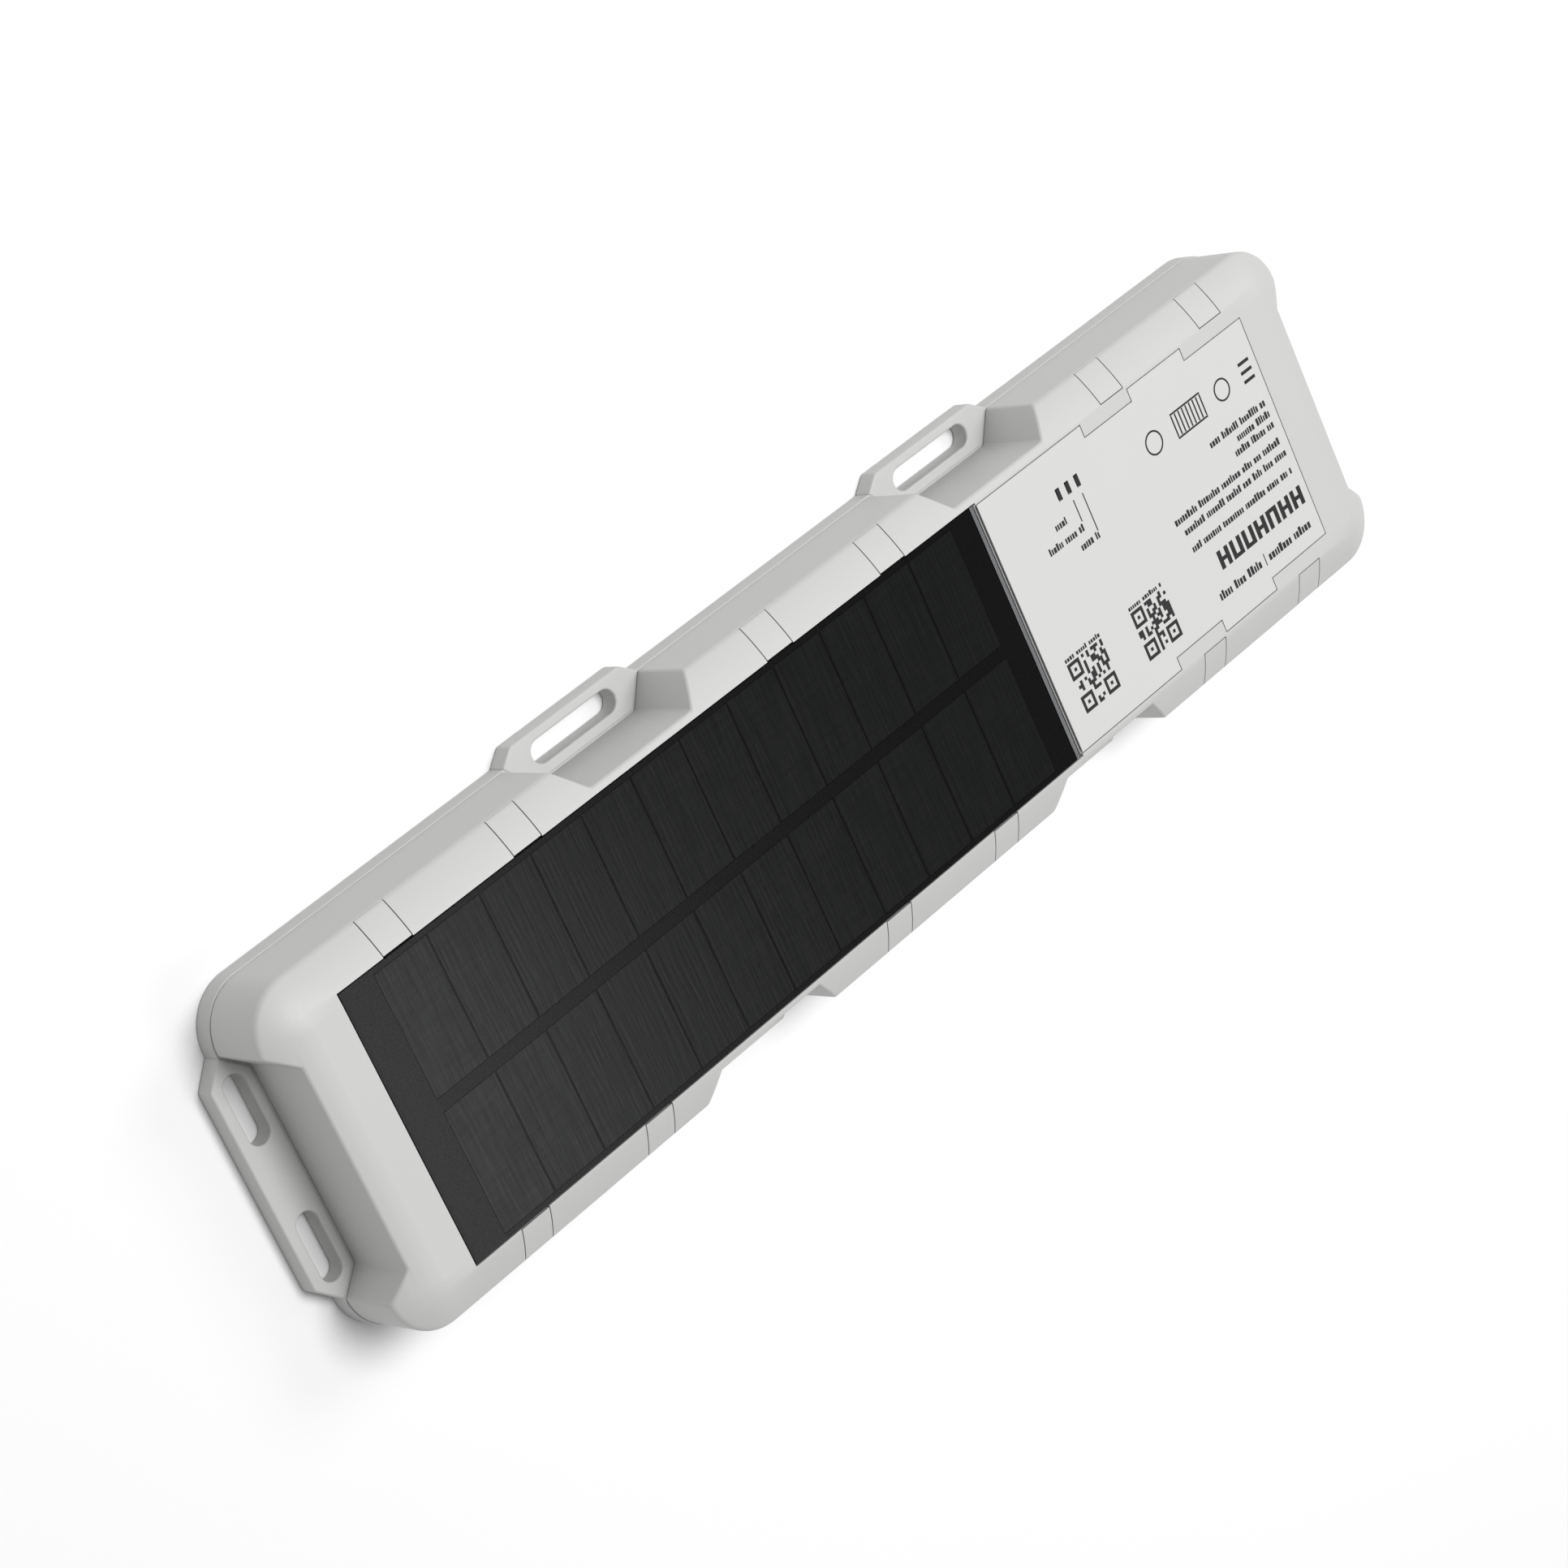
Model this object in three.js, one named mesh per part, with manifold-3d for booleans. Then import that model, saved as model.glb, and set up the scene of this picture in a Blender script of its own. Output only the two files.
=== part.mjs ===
// Solar-charged, screw-down tracker housing: a shallow base with slotted lugs, a crowned front cover
// with a solar panel and a label let into it, and the battery and electronics between them.
// Millimetres. +Z points out of the solar face, +X towards the label end. z = 0 is the mounting face.
import * as THREE from "three";
import { mergeVertices } from "three/addons/utils/BufferGeometryUtils.js";
import Module from "manifold-3d";

const wasm = await Module();
wasm.setup();

// ---- driving dimensions -------------------------------------------------------------------------
const BODY_LENGTH = 371; // front cover, at its shoulder edge
const BODY_WIDTH = 91.8;
const BODY_HEIGHT = 27.6; // mounting face to front face
const CORNER_RADIUS = 13;
const BASE_STEP = 0.3; // base stands this far proud of the cover all round
const BASE_HEIGHT = 5.2; // mounting face to the rim under the cover
const PAD_RISE = 0.3; // lug faces stand this far above that rim
const SEAM_GAP = 0.3;
const FIT_GAP = 0.3; // clearance round every fitted piece

const SHOULDER_DROP = 5; // front face down to the shoulder edge
// Strips that slope from the front face to the shoulder edge: their width, and how far (in degrees)
// they curve over between the two.
const SIDE_CROWN = { run: 9.3, turn: 14 };
const END_CROWN = { run: 14, turn: 24 };
const CROWN_FACETS = 3;

const WALL = 2.4;
const CEILING = 4;
const FLOOR = 2.2;
const TONGUE_HEIGHT = 3; // rim of the base that stands up inside the cover
const TONGUE_THICKNESS = 1.2;
const GASKET_WIDTH = 1;
const GASKET_HEIGHT = 1;
const GASKET_INSET = 1; // outer edge of the gasket to the outside of the cover

// Lugs: `wall` is the depth of the pocket cut in the cover, `reach` how far the lug stands out.
const SIDE_LUG = {
  wall: 7.7, reach: 3.9, innerLength: 34.4, outerLength: 46.2, tipLength: 37,
  slotLength: 28, slotWidth: 6, slotInset: 5.5, slotPitch: 0, slots: 1,
};
const END_LUG = {
  wall: 6.2, reach: 6, innerLength: 53.6, outerLength: 65.2, tipLength: 53,
  slotLength: 18, slotWidth: 6, slotInset: 6.2, slotPitch: 37, slots: 2,
};
const LUG_PITCH = 131.5; // between the two lugs of a long side
const LUG_SHIFT = 1.75; // their middle, from the middle of the body

const CELL_COLUMNS = 12;
const CELL_ROWS = 2;
const CELL_PITCH = 16.7;
const CELL_LENGTH = 32.8;
const CELL_GAP = 0.5;
const CELL_THICKNESS = 0.4;
const CELL_RELIEF = 0.1; // gap round and under a cell in its seat
const CELL_MARGIN = { start: 9.8, end: 7.5, side: 1.5 }; // panel edge to the nearest cell
const CELL_MIDDLE_STRIP = 3.6; // bus strip between the two rows
const PANEL_FROM_END = 21.4; // end of the body to the panel
const PANEL_THICKNESS = 2;
const PANEL_HOLE_FROM_END = 12; // hole for the lead, from the label end of the panel
const TRIM_WIDTH = 2;
const TRIM_CHAMFER = 0.9;

const LABEL_FROM_END = 22.2; // end of the body to the label
const LABEL_WIDTH = 71;
const LABEL_THICKNESS = 0.3;
const LABEL_DEPTH = 0.4; // recess in the cover
const LABEL_NOTCH = { depth: 3.5, before: 14, after: 5.7, leastTab: 6 }; // beside each clip
const LIGHT_COUNT = 3;
const LIGHT_PITCH = 3.7;
const LIGHT_AT = [26, 24.2]; // first light, from the start of the label and from the middle line
const LIGHT_SIZE = [1, 2.8];
const LIGHT_LENGTH = 8;

const CLIP_WIDTH = 8.8;
const CLIP_THICKNESS = 1.4;
const CLIP_SPACING = 41.6; // the two clips of a group
const CLIP_GROUP_PITCH = 128.5;
const CLIP_SHIFT = 4; // middle of the middle group, from the middle of the body
const CLIP_LEG = { width: 6, thickness: 1.2, barb: 1.1, barbHeight: 1 };
const CLIP_WINDOW_Z = 6.2; // bottom of the hole that the barb snaps into

const BOARD = { fromLabel: 7.5, length: 106, width: 64, thickness: 1.6, height: 8 };
const BOSS_RADIUS = 3;
const BOARD_SCREW = { radius: 1.1, headRadius: 2.2, headHeight: 1.6, length: 7, edge: 5 };
const SATELLITE_ANTENNA = { size: 25, thickness: 4, at: [82, 12] };
const MODEM_SHIELD = { length: 28, width: 24, height: 2.6, at: [40, -14] };
const MOBILE_ANTENNA = { length: 58, height: 11, thickness: 0.8, inset: 2 };

const BATTERY_RADIUS = 9.2;
const BATTERY_LENGTH = 65;
const BATTERY_COUNT = 3;
const BATTERY_GAP = 1.8;
const BATTERY_FROM_END = 44.5; // end of the body to the battery cells
const BATTERY_BUTTON = { radius: 2.8, height: 1 };
const CRADLE_WALL = 2;
const CRADLE_HEIGHT = 8;
const CRADLE_FLOOR = 1.2;

const PANEL_LEAD_RADIUS = 1;
const BATTERY_LEAD_RADIUS = 1.3;
const LEAD_SIDES = 8;
const VENT = { radius: 4, offset: 14, flange: 1.2 };
const RIB = { count: 4, thickness: 1.6, height: 4 };
const LEAD_OFFSET = -5; // battery lead, from the middle line
const ARC_STEPS = 8; // straight pieces in a quarter turn

// ---- colours ------------------------------------------------------------------------------------
const FINISHES = {
  pale_plastic: { color: 0xd2d2d1, roughness: 0.55 },
  black_laminate: { color: 0x191a1a, roughness: 0.4 },
  silicon: { color: 0x2b2c2d, roughness: 0.35 },
  grey_metal: { color: 0x6a6b6c, roughness: 0.4, metalness: 0.8 },
  white_film: { color: 0xdcdcdb, roughness: 0.5 },
  smoke_clear: { color: 0x3a3c3d, roughness: 0.15 },
  black_rubber: { color: 0x1c1c1c, roughness: 0.8 },
  green_board: { color: 0x1f5a3a, roughness: 0.5 },
  ceramic: { color: 0xb9a889, roughness: 0.5 },
  steel: { color: 0xb8babc, roughness: 0.35, metalness: 1 },
  battery_sleeve: { color: 0x2f6fa8, roughness: 0.4 },
  black_plastic: { color: 0x232425, roughness: 0.6 },
  cable_jacket: { color: 0x8c1f1c, roughness: 0.6 },
};

// ---- solids -------------------------------------------------------------------------------------
function solid(geometry) {
  const g = geometry.clone();
  g.deleteAttribute("normal");
  g.deleteAttribute("uv");
  const merged = mergeVertices(g, 1e-4);
  return new wasm.Manifold(new wasm.Mesh({
    numProp: 3,
    vertProperties: merged.attributes.position.array,
    triVerts: new Uint32Array(merged.index.array),
  }));
}

function geometryOf(made) {
  const m = made.getMesh();
  const g = new THREE.BufferGeometry();
  g.setAttribute("position", new THREE.BufferAttribute(m.vertProperties, 3));
  g.setIndex(new THREE.BufferAttribute(m.triVerts, 1));
  return g.toNonIndexed();
}

// Box between two corners.
function block([x0, y0, z0], [x1, y1, z1]) {
  const g = new THREE.BoxGeometry(x1 - x0, y1 - y0, z1 - z0);
  return solid(g.translate((x0 + x1) / 2, (y0 + y1) / 2, (z0 + z1) / 2));
}

// Closed outline lifted straight up from z0 to z1.
function prism(shape, z0, z1) {
  const g = new THREE.ExtrudeGeometry(shape, {
    depth: z1 - z0, bevelEnabled: false, curveSegments: ARC_STEPS,
  });
  return g.translate(0, 0, z0);
}

const polygon = (points) => new THREE.Shape(points.map(([x, y]) => new THREE.Vector2(x, y)));
const joined = (solids) => solids.reduce((all, next) => all.add(next));
const radians = (degrees) => THREE.MathUtils.degToRad(degrees);

function upright(radius, z0, z1, [x, y] = [0, 0], sides = 24) {
  const g = new THREE.CylinderGeometry(radius, radius, z1 - z0, sides);
  return solid(g.rotateX(Math.PI / 2).translate(x, y, (z0 + z1) / 2));
}

function roundedRectangle(halfLength, halfWidth, radius) {
  const s = new THREE.Shape();
  const x = halfLength - radius;
  const y = halfWidth - radius;
  s.absarc(x, y, radius, 0, Math.PI / 2);
  s.absarc(-x, y, radius, Math.PI / 2, Math.PI);
  s.absarc(-x, -y, radius, Math.PI, 1.5 * Math.PI);
  s.absarc(x, -y, radius, 1.5 * Math.PI, 2 * Math.PI);
  return s;
}

const bodyRectangle = (inset) =>
  roundedRectangle(BODY_LENGTH / 2 - inset, BODY_WIDTH / 2 - inset, CORNER_RADIUS - inset);

// ---- lugs and the pockets over them -------------------------------------------------------------
// Each lug is drawn with +Y pointing out of the body and y = 0 on the edge of the cover, then turned.
const lugCentres = [-1, 1].map((s) => LUG_SHIFT + (s * LUG_PITCH) / 2);
const LUGS = [
  ...lugCentres.map((x) => ({ kind: SIDE_LUG, x, y: BODY_WIDTH / 2, turn: 0 })),
  ...lugCentres.map((x) => ({ kind: SIDE_LUG, x, y: -BODY_WIDTH / 2, turn: Math.PI })),
  { kind: END_LUG, x: -BODY_LENGTH / 2, y: 0, turn: Math.PI / 2 },
  { kind: END_LUG, x: BODY_LENGTH / 2, y: 0, turn: -Math.PI / 2 },
];
const placed = (g, lug) => solid(g.rotateZ(lug.turn).translate(lug.x, lug.y, 0));

// Pocket outline, grown by `grow` into the body so that inner walls follow it at an even distance.
function pocketShape(kind, grow) {
  const slant = (kind.outerLength - kind.innerLength) / 2 / kind.wall;
  const side = grow * Math.hypot(1, slant);
  const inner = kind.innerLength / 2 + side - grow * slant;
  const past = kind.reach + BASE_STEP + 1;
  const outer = kind.outerLength / 2 + side + past * slant;
  const depth = -kind.wall - grow;
  return polygon([[-inner, depth], [inner, depth], [outer, past], [-outer, past]]);
}

// Lug outline, with a foot that runs back under the cover.
function lugShape(kind) {
  const root = kind.outerLength / 2;
  const tip = kind.tipLength / 2;
  return polygon([
    [-root, -kind.wall], [root, -kind.wall], [root, BASE_STEP],
    [tip, kind.reach], [-tip, kind.reach], [-root, BASE_STEP],
  ]);
}

function slotShape(kind, centre) {
  const r = kind.slotWidth / 2;
  const half = kind.slotLength / 2 - r;
  const y = kind.reach - kind.slotInset;
  const s = new THREE.Shape();
  s.absarc(centre + half, y, r, -Math.PI / 2, Math.PI / 2);
  s.absarc(centre - half, y, r, Math.PI / 2, 1.5 * Math.PI);
  return s;
}

const pockets = (grow, z0, z1) =>
  joined(LUGS.map((lug) => placed(prism(pocketShape(lug.kind, grow), z0, z1), lug)));

// Body outline with its pockets, inset evenly, between two heights.
const bodySlab = (inset, z0, z1) =>
  solid(prism(bodyRectangle(inset), z0, z1)).subtract(pockets(inset, z0 - 1, z1 + 1));

// Even ring that follows the body outline and its pockets.
const bodyRing = (outerInset, innerInset, z0, z1) =>
  bodySlab(outerInset, z0, z1).subtract(bodySlab(innerInset, z0 - 1, z1 + 1));

// ---- crowned front ------------------------------------------------------------------------------
// Points down an arc from the front face to the shoulder edge, as [distance in from the edge, drop].
function crownPoints({ run, turn }) {
  const chord = Math.hypot(run, SHOULDER_DROP);
  const radius = chord / (2 * Math.sin(radians(turn) / 2));
  const first = Math.atan2(SHOULDER_DROP, run) - radians(turn) / 2;
  return Array.from({ length: CROWN_FACETS + 1 }, (_, i) => {
    const slope = first + (radians(turn) * i) / CROWN_FACETS;
    return [
      run - radius * (Math.sin(slope) - Math.sin(first)), radius * (Math.cos(first) - Math.cos(slope)),
    ];
  });
}

function endCrown(halfLength, halfWidth, top) {
  const right = crownPoints(END_CROWN).map(([inset, drop]) => [halfLength - inset, top - drop]);
  const left = right.map(([x, z]) => [-x, z]);
  const outline = [[-halfLength, 0], [halfLength, 0], ...right.toReversed(), ...left];
  const g = new THREE.ExtrudeGeometry(polygon(outline), {
    depth: 2 * halfWidth + 2, bevelEnabled: false,
  });
  return solid(g.rotateX(Math.PI / 2).translate(0, halfWidth + 1, 0));
}

// Everything under the front face, for a body inset all round and lowered.
function crown(inset, lowered) {
  const top = BODY_HEIGHT - lowered;
  const ends = endCrown(BODY_LENGTH / 2 - inset, BODY_WIDTH / 2 - inset, top);
  const points = crownPoints(SIDE_CROWN);
  return points.slice(1).reduce((all, [inner, low], i) => {
    const [outer, high] = points[i];
    const slope = (low - high) / (outer - inner);
    const run = outer + high / slope;
    const drop = run * slope;
    const g = new THREE.ExtrudeGeometry(bodyRectangle(inset), {
      depth: BODY_HEIGHT, bevelSize: run, bevelOffset: -run,
      bevelThickness: drop, bevelSegments: 1, curveSegments: ARC_STEPS,
    });
    return all.intersect(solid(g.translate(0, 0, top - drop - BODY_HEIGHT)));
  }, ends);
}

// ---- places that follow from the sizes ----------------------------------------------------------
const coverBottom = BASE_HEIGHT + SEAM_GAP;
const ceilingHeight = BODY_HEIGHT - CEILING;
const shoulderHeight = BODY_HEIGHT - SHOULDER_DROP;
const tongueInset = WALL + FIT_GAP;
const tongueInner = tongueInset + TONGUE_THICKNESS;

const panelWidth = CELL_ROWS * CELL_LENGTH + (CELL_ROWS - 1) * CELL_MIDDLE_STRIP + 2 * CELL_MARGIN.side;
const panelStart = -BODY_LENGTH / 2 + PANEL_FROM_END;
const panelEnd = panelStart + CELL_MARGIN.start + CELL_COLUMNS * CELL_PITCH + CELL_MARGIN.end;
const trimEnd = panelEnd + FIT_GAP + TRIM_WIDTH;
const labelStart = trimEnd + 2 * FIT_GAP;
const labelEnd = BODY_LENGTH / 2 - LABEL_FROM_END;

const boardStart = labelStart + BOARD.fromLabel;
const boardEnd = boardStart + BOARD.length;
const boardTop = BOARD.height + BOARD.thickness;
const batteryStart = -BODY_LENGTH / 2 + BATTERY_FROM_END;
const batteryEnd = batteryStart + BATTERY_LENGTH + BATTERY_BUTTON.height;
const batteryPitch = 2 * BATTERY_RADIUS + BATTERY_GAP;
const cradleEnd = batteryEnd + FIT_GAP + CRADLE_WALL;
const ribPitch = (boardStart - cradleEnd) / (RIB.count + 1);
const ventAt = [cradleEnd + 2.5 * ribPitch, VENT.offset];

// ---- clips --------------------------------------------------------------------------------------
const clipCentres = [-1, 0, 1].flatMap((group) =>
  [-1, 1].map((s) => CLIP_SHIFT + group * CLIP_GROUP_PITCH + (s * CLIP_SPACING) / 2));
const clipInner = panelWidth / 2 + 2 * FIT_GAP;
const legOuter = BODY_WIDTH / 2 - tongueInner - 2 * FIT_GAP;

// Saddle of a clip on the +Y side, or the seat for it when grown.
function clipSaddle(x, grow) {
  const half = CLIP_WIDTH / 2 + grow;
  const low = [x - half, clipInner - grow, shoulderHeight - grow];
  return block(low, [x + half, BODY_WIDTH / 2 + 1, BODY_HEIGHT + 1])
    .subtract(crown(CLIP_THICKNESS + grow, CLIP_THICKNESS + grow));
}

function clipLeg(x, grow) {
  const half = CLIP_LEG.width / 2 + grow;
  return block(
    [x - half, legOuter - CLIP_LEG.thickness - grow, CLIP_WINDOW_Z],
    [x + half, legOuter + grow, BODY_HEIGHT + 1],
  );
}

function clip(x) {
  const half = CLIP_LEG.width / 2;
  const low = CLIP_WINDOW_Z + FIT_GAP;
  const barb = block(
    [x - half, legOuter - CLIP_LEG.thickness, low],
    [x + half, legOuter + CLIP_LEG.barb, low + CLIP_LEG.barbHeight],
  );
  const leg = clipLeg(x, 0).subtract(block([x - CLIP_WIDTH, 0, 0], [x + CLIP_WIDTH, BODY_WIDTH, low]));
  return clipSaddle(x, 0).intersect(crown(0, 0)).add(leg.intersect(crown(1, 1))).add(barb);
}

const clipWindow = (x) => block(
  [x - CLIP_LEG.width / 2 - FIT_GAP, legOuter, CLIP_WINDOW_Z],
  [x + CLIP_LEG.width / 2 + FIT_GAP, legOuter + CLIP_LEG.barb + 2 * FIT_GAP,
    CLIP_WINDOW_Z + CLIP_LEG.barbHeight + 2 * FIT_GAP],
);
const mirrored = (made) => made.add(made.mirror([0, 1, 0]));

// ---- base ---------------------------------------------------------------------------------------
const bossCentres = [boardStart + BOARD_SCREW.edge, boardEnd - BOARD_SCREW.edge].flatMap((x) =>
  [-1, 1].map((s) => [x, s * (BOARD.width / 2 - BOARD_SCREW.edge)]));

function baseShell() {
  const plate = solid(prism(bodyRectangle(-BASE_STEP), 0, BASE_HEIGHT));
  const lugs = LUGS.map((lug) => placed(prism(lugShape(lug.kind), 0, BASE_HEIGHT), lug)
    .add(placed(prism(lugShape(lug.kind), 0, BASE_HEIGHT + PAD_RISE), lug)
      .intersect(placed(prism(pocketShape(lug.kind, -FIT_GAP), 0, BODY_HEIGHT), lug))));
  const tongue = bodyRing(tongueInset, tongueInner, BASE_HEIGHT - 1, BASE_HEIGHT + TONGUE_HEIGHT);
  const hollow = bodySlab(tongueInner, FLOOR, BODY_HEIGHT);
  const groove = bodyRing(
    GASKET_INSET - FIT_GAP, GASKET_INSET + GASKET_WIDTH + FIT_GAP,
    BASE_HEIGHT - GASKET_HEIGHT, BODY_HEIGHT,
  );
  const slots = LUGS.flatMap((lug) => Array.from({ length: lug.kind.slots }, (_, i) => {
    const along = (i - (lug.kind.slots - 1) / 2) * lug.kind.slotPitch;
    return placed(prism(slotShape(lug.kind, along), -1, BASE_HEIGHT + 1), lug);
  }));
  const ribHalf = BODY_WIDTH / 2 - SIDE_LUG.wall - tongueInner - RIB.thickness;
  const ribs = Array.from({ length: RIB.count }, (_, i) => {
    const x = cradleEnd + (i + 1) * ribPitch;
    const half = RIB.thickness / 2;
    return block([x - half, -ribHalf, FLOOR - 1], [x + half, ribHalf, FLOOR + RIB.height]);
  });
  const leadRoom = BATTERY_LEAD_RADIUS + 2;
  const leadGap = block(
    [cradleEnd, LEAD_OFFSET - leadRoom, FLOOR], [boardStart, LEAD_OFFSET + leadRoom, BODY_HEIGHT],
  );
  const bosses = bossCentres.map((at) => upright(BOSS_RADIUS, FLOOR - 1, BOARD.height - FIT_GAP, at));
  const pilots = bossCentres.map((at) => upright(BOARD_SCREW.radius + FIT_GAP, FLOOR, BODY_HEIGHT, at));
  const windows = mirrored(joined(clipCentres.map(clipWindow)));
  return joined([plate, ...lugs, tongue])
    .subtract(hollow)
    .subtract(groove)
    .add(joined(ribs).subtract(leadGap))
    .add(joined(bosses))
    .subtract(joined([...slots, ...pilots, windows]))
    .subtract(upright(VENT.radius + FIT_GAP, -1, FLOOR + 1, ventAt))
    .add(baseVentSeat());
}

// Ledge round the vent hole on which the plug's flange rests.
function baseVentSeat() {
  const outer = upright(VENT.radius + FIT_GAP + 1, FLOOR - 1, FLOOR + VENT.flange, ventAt);
  const ledge = upright(VENT.radius + 2 * FIT_GAP, 0, FLOOR / 2, ventAt);
  return outer.add(ledge)
    .subtract(upright(VENT.radius + FIT_GAP, FLOOR / 2, BODY_HEIGHT, ventAt))
    .subtract(upright(VENT.radius - 1, -1, BODY_HEIGHT, ventAt));
}

// ---- cover --------------------------------------------------------------------------------------
// The label steps in beside each clip, and stays narrow where only a short tab would be left.
function labelShape(grow) {
  const high = LABEL_WIDTH / 2 + grow;
  const low = high - LABEL_NOTCH.depth;
  const upper = [[labelStart - grow, high]];
  let reach = labelStart;
  for (const x of clipCentres) {
    const from = Math.max(x - LABEL_NOTCH.before, reach);
    if (from - labelStart < LABEL_NOTCH.leastTab || from > labelEnd) continue;
    upper.push([from + grow, high], [from + grow, low]);
    reach = x + LABEL_NOTCH.after;
    if (labelEnd - reach < LABEL_NOTCH.leastTab) break;
    upper.push([reach - grow, low], [reach - grow, high]);
  }
  upper.push([labelEnd + grow, upper.at(-1)[1]]);
  return polygon([...upper.map(([x, y]) => [x, -y]), ...upper.toReversed()]);
}

const lightPipe = ([x, y], grow, z0, z1) => block(
  [x - LIGHT_SIZE[0] / 2 - grow, y - LIGHT_SIZE[1] / 2 - grow, z0],
  [x + LIGHT_SIZE[0] / 2 + grow, y + LIGHT_SIZE[1] / 2 + grow, z1],
);
const lightPlaces = Array.from({ length: LIGHT_COUNT }, (_, i) =>
  [labelStart + LIGHT_AT[0] + i * LIGHT_PITCH, LIGHT_AT[1]]);
const lightHoles = joined(lightPlaces.map((at) => lightPipe(at, FIT_GAP, 10, BODY_HEIGHT + 1)));
const panelHoleAt = [panelEnd - PANEL_HOLE_FROM_END, 0];

function frontCover() {
  const outside = bodySlab(0, coverBottom, BODY_HEIGHT).intersect(crown(0, 0));
  const inside = bodySlab(WALL, 0, BODY_HEIGHT).intersect(crown(WALL, CEILING));
  const panelSeat = block(
    [panelStart - FIT_GAP, -panelWidth / 2 - FIT_GAP, BODY_HEIGHT - PANEL_THICKNESS - FIT_GAP],
    [trimEnd + FIT_GAP, panelWidth / 2 + FIT_GAP, BODY_HEIGHT + 1],
  );
  const labelSeat = solid(prism(labelShape(FIT_GAP), BODY_HEIGHT - LABEL_DEPTH, BODY_HEIGHT + 1));
  const seats = clipCentres.map((x) => clipSaddle(x, FIT_GAP).add(clipLeg(x, FIT_GAP)));
  return outside
    .subtract(inside)
    .subtract(mirrored(joined(seats)))
    .subtract(panelSeat)
    .subtract(labelSeat)
    .subtract(lightHoles)
    .subtract(upright(PANEL_LEAD_RADIUS + 2 * FIT_GAP, 10, BODY_HEIGHT, panelHoleAt, LEAD_SIDES * 2));
}

// ---- panel --------------------------------------------------------------------------------------
const cells = Array.from({ length: CELL_ROWS * CELL_COLUMNS }, (_, i) => {
  const column = i % CELL_COLUMNS;
  const row = Math.floor(i / CELL_COLUMNS);
  const x = panelStart + CELL_MARGIN.start + CELL_PITCH * column + CELL_GAP / 2;
  const y = -panelWidth / 2 + CELL_MARGIN.side + row * (CELL_LENGTH + CELL_MIDDLE_STRIP);
  return { x, y };
});

const cellBlock = ({ x, y }, grow, z0, z1) =>
  block([x - grow, y - grow, z0], [x + CELL_PITCH - CELL_GAP + grow, y + CELL_LENGTH + grow, z1]);

function panelLaminate() {
  const slab = block(
    [panelStart, -panelWidth / 2, BODY_HEIGHT - PANEL_THICKNESS],
    [panelEnd, panelWidth / 2, BODY_HEIGHT],
  );
  const floor = BODY_HEIGHT - CELL_THICKNESS - CELL_RELIEF;
  return slab
    .subtract(joined(cells.map((cell) => cellBlock(cell, CELL_RELIEF, floor, BODY_HEIGHT + 1))));
}

function endTrim() {
  const x = panelEnd + FIT_GAP;
  const low = BODY_HEIGHT - PANEL_THICKNESS;
  const g = new THREE.ExtrudeGeometry(polygon([
    [x, low], [trimEnd, low], [trimEnd, BODY_HEIGHT - TRIM_CHAMFER],
    [trimEnd - TRIM_CHAMFER, BODY_HEIGHT], [x, BODY_HEIGHT],
  ]), { depth: panelWidth, bevelEnabled: false });
  return g.rotateX(Math.PI / 2).translate(0, panelWidth / 2, 0);
}

// ---- inside -------------------------------------------------------------------------------------
function mainBoard() {
  const slab = block(
    [boardStart, -BOARD.width / 2, BOARD.height], [boardEnd, BOARD.width / 2, boardTop],
  );
  const hole = (at) => upright(BOARD_SCREW.radius + FIT_GAP, 0, BODY_HEIGHT, at);
  return slab.subtract(joined(bossCentres.map(hole)));
}

function boardScrew([x, y]) {
  const { radius, headRadius, headHeight, length } = BOARD_SCREW;
  const profile = [[0, -length], [radius, -length + 1], [radius, 0], [headRadius, 0],
    [headRadius, headHeight * 0.6], [headRadius * 0.6, headHeight], [0, headHeight]];
  const g = new THREE.LatheGeometry(profile.map(([r, z]) => new THREE.Vector2(r, z)), 16);
  return g.rotateX(Math.PI / 2).translate(x, y, boardTop + FIT_GAP);
}

function modemShield() {
  const { length, width, height, at } = MODEM_SHIELD;
  const g = new THREE.BoxGeometry(length, width, height);
  return g.translate(boardStart + at[0], at[1], boardTop + FIT_GAP + height / 2);
}

// Square patch with one clipped corner.
function satelliteAntenna() {
  const { size, thickness, at } = SATELLITE_ANTENNA;
  const h = size / 2;
  const g = prism(polygon([[-h, -h], [h, -h], [h, h - 3], [h - 3, h], [-h, h]]), 0, thickness);
  return g.translate(boardStart + at[0], at[1], boardTop + FIT_GAP);
}

function mobileAntenna() {
  const { length, height, thickness, inset } = MOBILE_ANTENNA;
  const g = new THREE.BoxGeometry(thickness, length, height);
  return g.translate(boardEnd - inset, 0, boardTop + FIT_GAP + height / 2);
}

const batteryHeight = FLOOR + FIT_GAP + CRADLE_FLOOR + FIT_GAP + BATTERY_RADIUS;
const batteryRows = Array.from({ length: BATTERY_COUNT }, (_, i) =>
  (i - (BATTERY_COUNT - 1) / 2) * batteryPitch);

function batteryCell(y) {
  const { radius, height } = BATTERY_BUTTON;
  const profile = [[0, 0], [BATTERY_RADIUS, 0], [BATTERY_RADIUS, BATTERY_LENGTH],
    [radius, BATTERY_LENGTH], [radius, BATTERY_LENGTH + height], [0, BATTERY_LENGTH + height]];
  const g = new THREE.LatheGeometry(profile.map(([r, z]) => new THREE.Vector2(r, z)), 24);
  return g.rotateZ(-Math.PI / 2).translate(batteryStart, y, batteryHeight);
}

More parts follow.
